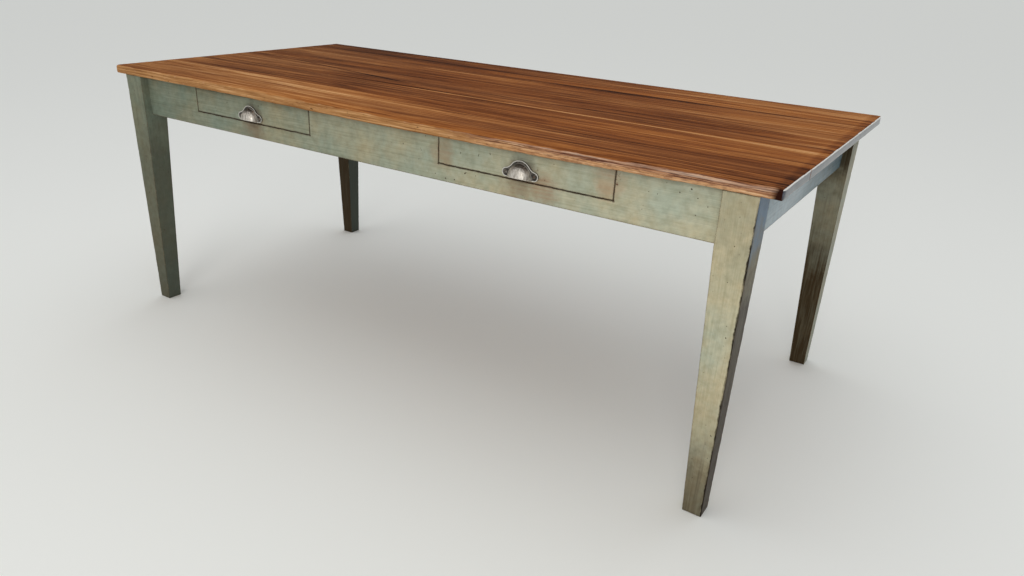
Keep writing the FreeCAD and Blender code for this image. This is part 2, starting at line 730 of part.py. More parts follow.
def nail_places(middle):
    """Nails of one drawer: through each side into the front and the back, and up through the bottom."""
    front_y = f"({FRONT_IN_Y} - (front_thickness - front_lip) / 2)"
    back_y = f"({DRAWER_END} - back_inset - back_thickness / 2)"
    through_sides = {LEFT: [], RIGHT: []}
    for side in (LEFT, RIGHT):
        for y, low, high in ((front_y, "0.45", "0.8"), (back_y, "0.4", "0.75")):
            for share in (low, high):
                z = f"{DRAWER_FOOT} + {share} * {SIDE_HEIGHT}"
                through_sides[side].append((f"{middle} + {side} * {HALF_DRAWER}", y, z))
    through_bottom = [(f"{middle} + {share} * {HALF_DRAWER}", back_y, BOTTOM_FOOT)
                      for share in ("-0.7", "0", "0.7")]
    return through_sides, through_bottom


def drive_nails(name, middle, side_nail, bottom_nail):
    through_sides, through_bottom = nail_places(middle)
    made = copies(f"{name}_left", side_nail, through_sides[LEFT], INTO_RIGHT)
    made += copies(f"{name}_right", side_nail, through_sides[RIGHT], INTO_LEFT)
    made += copies(f"{name}_bottom", bottom_nail, through_bottom, UPRIGHT)
    return group(name, made)


def pull_screw_places(middle):
    """One screw in each ear of a cup pull, seated on the face of its plate."""
    seat = f"-{APRON_OUT_Y} - plate_thickness + rim_height"
    return [(f"{middle} + {side} * {EAR_X}", seat, f"{PULL_FOOT} + {EAR_RADIUS}") for side in (LEFT, RIGHT)]


def plate_outline(body, name, inset, offset=None):
    """Sketches that together are the plate's outline, set in by a distance.

    An arch and two ears, and the straight shoulders that touch them.
    """
    ear, arch = f"({EAR_RADIUS} - {inset})", f"(arch_radius - {inset})"
    shoulders = (
        (f"({EAR_X} + {ear} * cos({SHOULDER_LEAN}))", f"{EAR_RADIUS} + {ear} * sin({SHOULDER_LEAN})"),
        (f"({arch} * cos({SHOULDER_LEAN}))", f"pull_height - arch_radius + {arch} * sin({SHOULDER_LEAN})"),
    )
    right = ((EAR_X, inset),) + shoulders
    left = tuple((f"-{x}", z) for x, z in reversed(right))
    middle = new_sketch(body, f"{name}_middle", "XZ_Plane", offset)
    polygon(middle, right + left)
    round_parts = [("arch", "0", "pull_height - arch_radius", arch)]
    for side_name, side in DRAWERS:
        round_parts.append((f"ear_{side_name}", f"{side} * {EAR_X}", EAR_RADIUS, ear))
    sketches = [middle]
    for part_name, x, z, radius in round_parts:
        sketches.append(new_sketch(body, f"{name}_{part_name}", "XZ_Plane", offset))
        circle(sketches[-1], x, z, radius)
    return sketches


def cup_pull(name):
    """Cast cup pull: rimmed plate with two ears and a hollow bowl, open below and behind.

    The bowl's lower edge rises from the plate to the front lip.
    """
    body = new_body(name)
    for sketch in plate_outline(body, "plate", "0"):
        pad(body, sketch, "plate_thickness")
    for sketch in plate_outline(body, "face", "rim_width", "plate_thickness"):
        pocket(body, sketch, "rim_height")
    for kind, name_end, less in (("Additive", "bowl", "0"), ("Subtractive", "hollow", "bowl_wall")):
        bowl = body.newObject(f"PartDesign::{kind}Ellipsoid", f"{name}_{name_end}")
        bind(bowl, "Radius1", f"bowl_height - {less}")
        bind(bowl, "Radius2", f"bowl_width / 2 - {less}")
        bind(bowl, "Radius3", f"bowl_depth - {less}")
        bowl.Angle1, bowl.Angle2, bowl.Angle3 = -90, 90, 360
        body.Tip = bowl
    below = new_sketch(body, "below", "YZ_Plane")
    polygon(below, (("-pull_width", "-pull_width"), ("pull_width", "-pull_width"), ("pull_width", "0"),
                    ("-plate_thickness", "0"), ("-bowl_depth", "lip_rise"), ("-pull_width", "lip_rise")))
    pocket_through(body, below)
    behind = new_sketch(body, "behind", "XY_Plane")
    rectangle(behind, ("-pull_width", "0"), ("pull_width", "pull_width"))
    pocket_through(body, behind)
    return body


def make_drawers():
    side_nail = nail("side_nail_model", "nail_length")
    side_hole = nail("side_nail_hole_model", "nail_length", "hole_play")
    bottom_nail = nail("bottom_nail_model", "bottom_nail_length")
    bottom_hole = nail("bottom_nail_hole_model", "bottom_nail_length", "hole_play")
    screw, drill = pull_screw(), pull_drill()
    for drawer_name, drawer in DRAWERS:
        name, middle = f"{drawer_name}_drawer", middle_of(drawer)
        nails = drive_nails(f"{name}_nails", middle, side_nail, bottom_nail)
        holes = drive_nails(f"{name}_nail_holes", middle, side_hole, bottom_hole)
        places = pull_screw_places(middle)
        drills = group(f"{name}_pull_drills", copies(f"{name}_pull_drill", drill, places, INTO_BACK))
        drawer_wood(name, middle, holes, drills)
        keep(nails, f"{name}_nails")
        pull = put(cup_pull(f"{name}_pull_blank"), middle, f"-{APRON_OUT_Y}", PULL_FOOT)
        cut(f"{name}_pull", pull, [drills])
        keep(group(f"{name}_pull_screws", copies(f"{name}_pull_screw", screw, places, INTO_BACK)),
             f"{name}_pull_screws")


def check_and_write():
    """Stop on any failed object, then write one STEP file for each node."""
    doc.recompute()
    for thing in doc.Objects:
        if {"Invalid", "Error"} & set(thing.State):
            raise RuntimeError(f"{thing.Label} failed: {thing.State}")
        if thing.TypeId == "PartDesign::Pocket" and thing.Shape.Volume >= thing.BaseFeature.Shape.Volume:
            raise RuntimeError(f"{thing.Label} cuts nothing")
    os.makedirs("parts", exist_ok=True)
    for node in nodes:
        if node.Shape.isNull() or not node.Shape.isValid() or not node.Shape.Solids:
            raise RuntimeError(f"{node.Label} has no valid solid")
    for node in nodes:
        node.Shape.exportStep(f"parts/{node.Label}.step")
        box = node.Shape.BoundBox
        print(f"{node.Label}: {len(node.Shape.Solids)} solids, "
              f"{box.XLength:.1f} x {box.YLength:.1f} x {box.ZLength:.1f} mm")


fill_sheet()
screw_places = batten_screw_places()
batten_drills = group("batten_drills", copies("batten_drill", batten_drill(), screw_places, UPRIGHT))
block_drills = drive_block_screws("block_drills", block_drill())
make_top(batten_drills)
batten_housings = make_battens(batten_drills)
keep(group("batten_screws", copies("batten_screw", batten_screw(), screw_places, UPRIGHT)), "batten_screws")
make_legs()
runner_housings = make_runners()
make_aprons(batten_housings, runner_housings, block_drills)
make_front(batten_housings, runner_housings, block_drills)
make_corner_blocks(block_drills)
keep(drive_block_screws("corner_block_screws", block_screw()), "corner_block_screws")
make_drawers()
check_and_write()
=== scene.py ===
"""Kitchen table with two drawers: the finish of every surface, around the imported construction.

Metres, +Z up, X along the table, the drawers at the front (-Y).  Each wooden piece is worked
to the size of its node, its edges worn, and then painted, varnished or left bare.
"""
import json
import math

import bpy
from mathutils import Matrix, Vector


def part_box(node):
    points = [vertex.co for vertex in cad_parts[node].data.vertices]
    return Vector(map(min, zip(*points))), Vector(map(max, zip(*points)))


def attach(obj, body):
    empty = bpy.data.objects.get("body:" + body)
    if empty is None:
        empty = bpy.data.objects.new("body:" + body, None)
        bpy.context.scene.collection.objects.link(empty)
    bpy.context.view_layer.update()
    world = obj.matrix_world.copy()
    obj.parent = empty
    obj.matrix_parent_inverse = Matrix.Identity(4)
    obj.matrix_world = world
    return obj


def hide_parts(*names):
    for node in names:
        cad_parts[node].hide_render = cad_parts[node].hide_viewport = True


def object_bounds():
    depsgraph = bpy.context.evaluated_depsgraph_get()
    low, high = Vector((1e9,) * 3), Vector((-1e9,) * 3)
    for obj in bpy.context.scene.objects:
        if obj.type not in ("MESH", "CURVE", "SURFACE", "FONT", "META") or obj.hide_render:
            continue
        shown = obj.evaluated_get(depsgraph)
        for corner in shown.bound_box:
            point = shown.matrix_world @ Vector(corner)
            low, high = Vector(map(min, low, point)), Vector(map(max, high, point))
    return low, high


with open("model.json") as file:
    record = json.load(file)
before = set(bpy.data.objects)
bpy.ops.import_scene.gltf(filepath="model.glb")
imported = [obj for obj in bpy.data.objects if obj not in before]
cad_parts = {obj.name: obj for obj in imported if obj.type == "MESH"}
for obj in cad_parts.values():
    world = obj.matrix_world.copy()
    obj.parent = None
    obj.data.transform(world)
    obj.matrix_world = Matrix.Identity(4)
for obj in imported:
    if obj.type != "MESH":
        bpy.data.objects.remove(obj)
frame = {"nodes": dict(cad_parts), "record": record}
cad_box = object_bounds()

BODY_OF = {node: body for body, nodes in frame["record"]["behaviour"]["bodies"].items() for node in nodes}
SLOT_OF = {part["node"]: part["material_slot"] for part in frame["record"]["subparts"]}


def box(node):
    low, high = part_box(node)
    return Vector(low), Vector(high)


# Measures, from the frame.

HALF_LENGTH, TABLE_HEIGHT = cad_box[1].x, cad_box[1].z
TOP_LOW, TOP_HIGH = box("top_board_front")[0], box("top_board_back")[1]
APRON_FOOT = box("left_apron")[0].z
LEG_LOW, LEG_HIGH = box("leg_front_left")
LEG_WIDTH = LEG_HIGH.x - LEG_LOW.x
LEG_OUT_X, LEG_OUT_Y = -LEG_LOW.x, -LEG_LOW.y
RAIL_TOP = box("front_rail_lower")[1].z
DRAWER_LOW, DRAWER_HIGH = box("right_drawer_front")
DRAWER_X = (DRAWER_LOW.x + DRAWER_HIGH.x) / 2
HALF_DRAWER = (DRAWER_HIGH.x - DRAWER_LOW.x) / 2
DRAWER_GAP = DRAWER_LOW.z - RAIL_TOP
PULL_LOW, PULL_HIGH = box("left_drawer_pull")
PULL_BACK = PULL_HIGH.y
PULL_FOOT = PULL_LOW.z
PULL_WIDTH = PULL_HIGH.x - PULL_LOW.x
PULL_HEIGHT = PULL_HIGH.z - PULL_LOW.z
TOLERANCE = 0.0001
SLACK = 0.0005


# Selecting and modelling.

def only(thing):
    """Select just this object and make it active."""
    bpy.ops.object.select_all(action="DESELECT")
    thing.select_set(True)
    bpy.context.view_layer.objects.active = thing


def edit(thing, kind, wanted):
    """Open the mesh with only the vertices, edges or faces that pass the test selected."""
    only(thing)
    bpy.ops.object.mode_set(mode="EDIT")
    bpy.ops.mesh.select_mode(type=kind)
    bpy.ops.mesh.select_all(action="DESELECT")
    bpy.ops.object.mode_set(mode="OBJECT")
    mesh = thing.data
    parts = {"VERT": mesh.vertices, "EDGE": mesh.edges, "FACE": mesh.polygons}[kind]
    for part in parts:
        part.select = wanted(part)
    bpy.ops.object.mode_set(mode="EDIT")


def close():
    bpy.ops.object.mode_set(mode="OBJECT")


def ends(thing, edge):
    """The two end points of an edge."""
    return [thing.data.vertices[number].co for number in edge.vertices]


def primitive(add, name, **settings):
    """Start a piece from a primitive, with nothing else selected."""
    bpy.ops.object.select_all(action="DESELECT")
    add(**settings)
    made = bpy.context.object
    made.name = name
    return made


def settle(thing):
    """Put the place, turn and size of an object into its mesh."""
    only(thing)
    bpy.ops.object.transform_apply(location=True, rotation=True, scale=True)


def block(name, low, high):
    """Square-edged block between two corners, with its place in its mesh."""
    low, high = Vector(low), Vector(high)
    made = primitive(bpy.ops.mesh.primitive_cube_add, name, size=1, location=(low + high) / 2)
    made.scale = high - low
    settle(made)
    return made


def saw(thing, place, normal):
    """Cut the whole mesh along a plane and keep both sides."""
    edit(thing, "FACE", lambda face: True)
    bpy.ops.mesh.bisect(plane_co=place, plane_no=normal)
    close()


def divide(thing, cuts, wanted):
    """Divide the chosen edges, and so the strips of faces between them."""
    edit(thing, "EDGE", wanted)
    bpy.ops.mesh.subdivide(number_cuts=cuts)
    close()


def smooth(thing, degrees):
    only(thing)
    bpy.ops.object.shade_smooth_by_angle(angle=math.radians(degrees))


def modify(thing, kind, **settings):
    """Add a modifier with these settings and apply it."""
    change = thing.modifiers.new(kind.lower(), kind)
    for word, value in settings.items():
        setattr(change, word, value)
    only(thing)
    bpy.ops.object.modifier_apply(modifier=change.name)


def weigh(thing, name, weight):
    """Vertex group whose weight at each point is worked out from the point."""
    group = thing.vertex_groups.new(name=name)
    for vertex in thing.data.vertices:
        share = weight(vertex.co)
        if share > 0:
            group.add([vertex.index], min(share, 1), "REPLACE")
    return name


def wear(thing, group, depth, size, contrast=1.0, brightness=1.0):
    """Sink the surface by up to a depth, in dents of about the given size."""
    texture = bpy.data.textures.new(f"{thing.name}_{group}", "CLOUDS")
    texture.noise_scale = size
    texture.noise_depth = 2
    texture.contrast = contrast
    texture.intensity = brightness
    texture.use_clamp = True
    modify(thing, "DISPLACE", texture=texture, texture_coords="LOCAL", vertex_group=group, mid_level=0,
           strength=-depth)


def round_off(thing, width, segments, rules):
    """Round edges to their own shares of a width, in one bevel, so that they meet at the corners."""
    for share, wanted in rules:
        edit(thing, "EDGE", wanted)
        bpy.ops.transform.edge_bevelweight(value=share)
        close()
    modify(thing, "BEVEL", limit_method="WEIGHT", width=width, segments=segments, use_clamp_overlap=False)


def combine(thing, other, operation):
    """Join another solid to this one or cut it away, and delete it."""
    modify(thing, "BOOLEAN", operation=operation, object=other, solver="EXACT")
    bpy.data.objects.remove(other)


def copy_of(thing, name):
    """A copy with its own mesh."""
    only(thing)
    bpy.ops.object.duplicate()
    made = bpy.context.object
    made.name = name
    return made


def place_in_mesh(thing, place, turn=0):
    """Turn about Z and move, both in the mesh."""
    thing.rotation_euler = (0, 0, turn)
    thing.location = place
    settle(thing)


def stand_in(piece, node, material):
    """Put a piece in the place of a node, with its body and its finish."""
    piece.data.materials.clear()
    piece.data.materials.append(material)
    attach(piece, BODY_OF[node])
    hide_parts(node)
    return piece


def eased_copy(node, width, material):
    """A copy of a node with its flat faces whole and its sharp edges eased."""
    piece = frame["nodes"][node].copy()
    piece.data = frame["nodes"][node].data.copy()
    piece.name = f"{node}_eased"
    for word in list(piece.keys()):
        del piece[word]
    piece.parent = None
    bpy.context.scene.collection.objects.link(piece)
    edit(piece, "FACE", lambda face: True)
    bpy.ops.mesh.remove_doubles(threshold=0.00001)
    bpy.ops.mesh.dissolve_limited(angle_limit=math.radians(0.5))
    close()
    modify(piece, "BEVEL", width=width, segments=2, limit_method="ANGLE", angle_limit=math.radians(50),
           use_clamp_overlap=True)
    smooth(piece, 35)
    return stand_in(piece, node, material)


# Materials.

def tone(red, green, blue):
    """Linear colour from the 0 to 255 values of a colour chart."""
    def linear(value):
        share = value / 255
        return share / 12.92 if share <= 0.04045 else ((share + 0.055) / 1.055) ** 2.4
    return (linear(red), linear(green), linear(blue), 1)


class Sheet:
    """A sheet of nodes, under short names."""

    def __init__(self, tree, place):
        self.tree = tree
        self.place = self.node("ShaderNodeTexCoord").outputs[place]

    def node(self, kind, inputs=None, **settings):
        made = self.tree.nodes.new(kind)
        for word, value in settings.items():
            setattr(made, word, value)
        for socket, value in (inputs or {}).items():
            self.feed(made.inputs[socket], value)
        return made

    def feed(self, socket, value):
        if isinstance(value, bpy.types.NodeSocket):
            self.tree.links.new(value, socket)
        else:
            socket.default_value = value

    def math(self, operation, first, second=0.0):
        return self.node("ShaderNodeMath", {0: first, 1: second}, operation=operation).outputs[0]

    def add(self, *values):
        total = values[0]
        for value in values[1:]:
            total = self.math("ADD", total, value)
        return total

    def times(self, *values):
        product = values[0]
        for value in values[1:]:
            product = self.math("MULTIPLY", product, value)
        return product

    def swing(self, value, size):
        """A noise value turned into a change of about plus or minus a size."""
        return self.times(self.math("SUBTRACT", value, 0.5), 4 * size)

    def axes(self):
        made = self.node("ShaderNodeSeparateXYZ", {0: self.place})
        return made.outputs[0], made.outputs[1], made.outputs[2]

    def point(self, x, y, z):
        return self.node("ShaderNodeCombineXYZ", {0: x, 1: y, 2: z}).outputs[0]

    def scaled(self, scale, offset=(0, 0, 0), vector=None):
        values = {"Vector": vector or self.place, "Scale": scale, "Location": offset}
        return self.node("ShaderNodeMapping", values).outputs[0]

    def distance(self, first, second):
        made = self.node("ShaderNodeVectorMath", {0: first, 1: second}, operation="DISTANCE")
        return made.outputs["Value"]

    def noise(self, vector, scale=1.0, detail=3.0, roughness=0.5, distortion=0.0):
        values = {"Vector": vector, "Scale": scale, "Detail": detail, "Roughness": roughness,
                  "Distortion": distortion}
        return self.node("ShaderNodeTexNoise", values).outputs["Fac"]

    def spread(self, value, low, high, to_low=0.0, to_high=1.0):
        """Map a value from one range to another, without leaving it."""
        values = {"Value": value, "From Min": low, "From Max": high, "To Min": to_low, "To Max": to_high}
        return self.node("ShaderNodeMapRange", values).outputs[0]

    def between(self, value, start, finish, fade):
        """One from start to finish, falling to nothing over a fade outside them."""
        rise = self.spread(value, start - fade, start)
        return self.times(rise, self.spread(value, finish, finish + fade, 1, 0))

    def mix(self, share, first, second, blend="MIX"):
        values = {0: share, 6: first, 7: second}
        return self.node("ShaderNodeMix", values, data_type="RGBA", blend_type=blend).outputs[2]

    def ramp(self, value, stops):
        """Colour ramp from (place, colour) stops."""
        made = self.node("ShaderNodeValToRGB", {0: value})
        points = made.color_ramp.elements
        while len(points) < len(stops):
            points.new(0.5)
        for point, (place, colour) in zip(points, stops):
            point.position = place
            point.color = colour
        return made.outputs[0]

    def profile(self, value, low, high, stops):
        """Number that follows (place, number) stops over a range, with places in the same units."""
        grey = [((place - low) / (high - low), (number, number, number, 1)) for place, number in stops]
        return self.ramp(self.spread(value, low, high), grey)


class Finish(Sheet):
    """The nodes of one material."""

    def __init__(self, name):
        self.material = bpy.data.materials.new(name)
        self.material.use_nodes = True
        super().__init__(self.material.node_tree, "Object")
        self.shader = self.tree.nodes["Principled BSDF"]

    def set(self, **values):
        for word, value in values.items():
            self.feed(self.shader.inputs[word.replace("_", " ")], value)

    def bump(self, height, distance):
        values = {"Height": height, "Distance": distance}
        self.set(Normal=self.node("ShaderNodeBump", values).outputs[0])


WOOD_TONES = ((0.0, tone(34, 18, 11)), (0.18, tone(68, 39, 24)), (0.36, tone(108, 66, 40)),
              (0.52, tone(140, 90, 54)), (0.68, tone(168, 117, 72)), (0.84, tone(196, 149, 102)),
              (1.0, tone(222, 184, 142)))


def wood_grain(made, x, y, z, seed):
    """Broad, fine and fibre-wide streaks along the board, and its wandering place across."""
    wander = made.noise(made.point(made.times(x, 1.4), made.times(y, 3), seed), detail=2)
    across = made.add(y, made.swing(wander, 0.006))
    place = made.point(x, across, z)
    band = made.noise(made.scaled((0.8, 24, 24), (seed, 0, 0), place), detail=6, roughness=0.68)
    fine = made.noise(made.scaled((2.6, 150, 150), (seed, 5, 0), place), detail=4, roughness=0.6)
    fibre = made.noise(made.scaled((12, 800, 800), (seed, 9, 0), place), detail=2)
    return place, across, band, fine, fibre


def mark_board(made, value, x, across, seed, place, marks):
    """Lighten or darken a value along marks, each (start, finish, y at each, half width, change)."""
    ragged = made.noise(made.scaled((9, 240, 240), (seed, 3, 0), place), detail=3)
    for start, finish, y_start, y_finish, half_width, change in marks:
        slope = (y_finish - y_start) / (finish - start)
        middle = made.add(made.times(made.add(x, -start), slope), y_start)
        gap = made.math("ABSOLUTE", made.math("SUBTRACT", across, middle))
        gap = made.add(gap, made.swing(ragged, half_width * 0.35))
        shape = made.spread(gap, 0, half_width, 1, 0)
        length = made.between(made.add(x, made.swing(ragged, 0.02)), start + 0.04, finish - 0.04, 0.06)
        value = made.add(value, made.times(shape, length, change))
    return value


def varnished_board(name, seed, tones, marks, nose=False):
    """Stained and varnished board, lighter or darker along its length, with streaks, rings and pores."""
    made = Finish(name)
    x, y, z = made.axes()
    place, across, band, fine, fibre = wood_grain(made, x, y, z, seed)
    value = made.profile(x, -HALF_LENGTH, HALF_LENGTH, tones)
    value = made.add(value, made.swing(band, 0.26), made.swing(fine, 0.26), made.swing(fibre, 0.12))
    rings = made.noise(made.scaled((1.1, 62, 62), (seed, 4, 0), place), detail=3, roughness=0.6)
    rings = made.spread(made.math("ABSOLUTE", made.math("SUBTRACT", rings, 0.5)), 0.0, 0.03, 1, 0)
    value = made.add(value, made.times(rings, made.spread(fine, 0.35, 0.6, 0.05, 0.22), -1))
    flecks = made.noise(made.scaled((4.5, 130, 130), (seed, 6, 0), place), detail=2)
    dark_end = made.spread(x, HALF_LENGTH - 0.027, HALF_LENGTH - 0.015, 0, -0.13)
    value = made.add(value, made.spread(flecks, 0.58, 0.70, 0, -0.20), dark_end)
    value = mark_board(made, value, x, across, seed, place, marks)
    pores = made.noise(made.scaled((38, 1300, 1300), (seed, 7, 0), place), detail=1)
    pores = made.spread(pores, 0.64, 0.74)
    value = made.add(value, made.times(pores, -0.16))

    colour = made.ramp(value, WOOD_TONES)
    warmth = made.noise(made.scaled((0.8, 9, 9), (seed, 2, 0), place), detail=2)
    warmth = made.add(made.spread(warmth, 0.35, 0.65, 0, 0.5), made.spread(x, -0.75, -0.2, 0, 0.5))
    colour = made.mix(warmth, colour, tone(255, 231, 198), "MULTIPLY")
    if nose:
        colour = worn_nose(made, colour, x, y, z)
    gloss = made.add(made.spread(fine, 0.3, 0.7, 0.26, 0.40), made.times(pores, 0.2))
    made.set(Base_Color=colour, Roughness=gloss, Specular_IOR_Level=0.0, Coat_Weight=0.04,
             Coat_Roughness=0.25)
    height = made.add(fine, made.times(fibre, 0.5), made.times(pores, -0.8))
    made.bump(height, 0.00022)
    return made.material


def tan_nose(made, streaks, chips):
    """Bare wood of the front edge at the left: tan, with pale and dark chips."""
    tan = made.ramp(streaks, ((0.25, tone(112, 72, 44)), (0.42, tone(158, 112, 70)),
                              (0.56, tone(190, 142, 94)), (0.75, tone(226, 184, 138))))
    tan = made.mix(made.spread(chips, 0.60, 0.66, 0, 0.3), tan, tone(206, 164, 138))
    return made.mix(made.spread(chips, 0.36, 0.31), tan, tone(74, 44, 30))


def pale_nose(made, streaks, chips, fray, z):
    """Bare wood of the front edge at the right: bleached and scratched, with a painted highlight along the
    round above and worn clean below.
    """
    pale = made.ramp(streaks, ((0.3, tone(100, 62, 44)), (0.45, tone(150, 102, 72)),
                               (0.58, tone(192, 146, 112)), (0.75, tone(228, 198, 172))))
    scratches = made.noise(made.scaled((16, 260, 520)), detail=4, roughness=0.7)
    pale = made.mix(made.spread(scratches, 0.47, 0.55), pale, tone(96, 62, 52))
    # A painted highlight: a pale line along the upper round of the nose.
    highlight_line = made.add(z, made.swing(fray, 0.0015))
    highlight_line = made.between(highlight_line, TABLE_HEIGHT - 0.0095, TABLE_HEIGHT - 0.006, 0.0015)
    highlight_line = made.times(highlight_line, made.spread(streaks, 0.4, 0.6, 0.1, 0.5))
    pale = made.mix(highlight_line, pale, tone(236, 208, 186))
    strip = made.ramp(streaks, ((0.3, tone(146, 94, 62)), (0.5, tone(206, 158, 114)),
                                (0.7, tone(236, 200, 162))))
    lower = made.spread(made.add(z, made.swing(fray, 0.001)), TOP_LOW.z + 0.0092, TOP_LOW.z + 0.0078)
    return made.mix(made.times(lower, made.spread(chips, 0.38, 0.58, 0.35, 1.0)), pale, strip)


def worn_nose(made, colour, x, y, z):
    """The varnish gone from the front edge, and nearly black at its right corner."""
    fray = made.noise(made.scaled((22, 60, 60)), detail=3)
    streaks = made.noise(made.scaled((7, 120, 330)), detail=4, roughness=0.65)
    chips = made.noise(made.scaled((55, 150, 190)), detail=3, roughness=0.6)
    side = made.spread(made.add(x, made.swing(fray, 0.12)), 0.22, 0.5)
    worn = made.mix(side, tan_nose(made, streaks, chips), pale_nose(made, streaks, chips, fray, z))
    corner = made.add(x, made.swing(fray, 0.006))
    corner = made.spread(corner, HALF_LENGTH - 0.025, HALF_LENGTH - 0.013)
    worn = made.mix(corner, worn, tone(46, 22, 15))
    depth = made.add(y, made.swing(fray, 0.0016))
    bare = made.spread(depth, TOP_LOW.y + 0.0055, TOP_LOW.y + 0.0025)
    return made.mix(bare, colour, worn)


def end_varnish(name):
    """Dark end grain under thick, glossy varnish, tinted blue-grey by a painted cold reflection, with a
    painted white reflection along its upper edge.
    """
    made = Finish(name)
    x, y, z = made.axes()
    rings = made.noise(made.scaled((60, 60, 220)), detail=4, distortion=0.4)
    # Blue-grey tones: dark end grain with a painted cold reflection in it.
    colour = made.ramp(rings, ((0.25, tone(38, 38, 46)), (0.5, tone(62, 68, 82)),
                               (0.75, tone(96, 100, 112))))
    # A painted white reflection along the upper edge.
    highlight_line = made.add(z, made.swing(rings, 0.0008))
    rubbed_and_highlit = made.spread(highlight_line, TABLE_HEIGHT - 0.0060, TABLE_HEIGHT - 0.0048)
    colour = made.mix(rubbed_and_highlit, colour, tone(255, 255, 253))
    foot = made.spread(z, TOP_LOW.z + 0.006, TOP_LOW.z + 0.003)
    colour = made.mix(foot, colour, tone(56, 44, 36))
    gloss = made.spread(rings, 0.3, 0.7, 0.10, 0.18)
    made.set(Base_Color=colour, Roughness=gloss, Specular_IOR_Level=0.5)
    made.bump(rings, 0.0001)
    return made.material


# The paint runs paler from left to right: partly its own tone and partly painted light falling off to the
# left.
GREEN_LEFT, GREEN_RIGHT = tone(124, 137, 123), tone(194, 202, 184)
DRAB_LEFT, DRAB_RIGHT = tone(132, 131, 108), tone(206, 196, 164)
# Tones of soiling and painted shade; the cold one for faces along +X that stand in shade.
DIRT_AND_SHADE_TONE, COLD_DIRT_AND_SHADE_TONE = tone(60, 48, 31), tone(74, 80, 74)
UNDARKENED = ((0, 0), (TABLE_HEIGHT, 0))
RUBBED_RADIUS = 0.0045


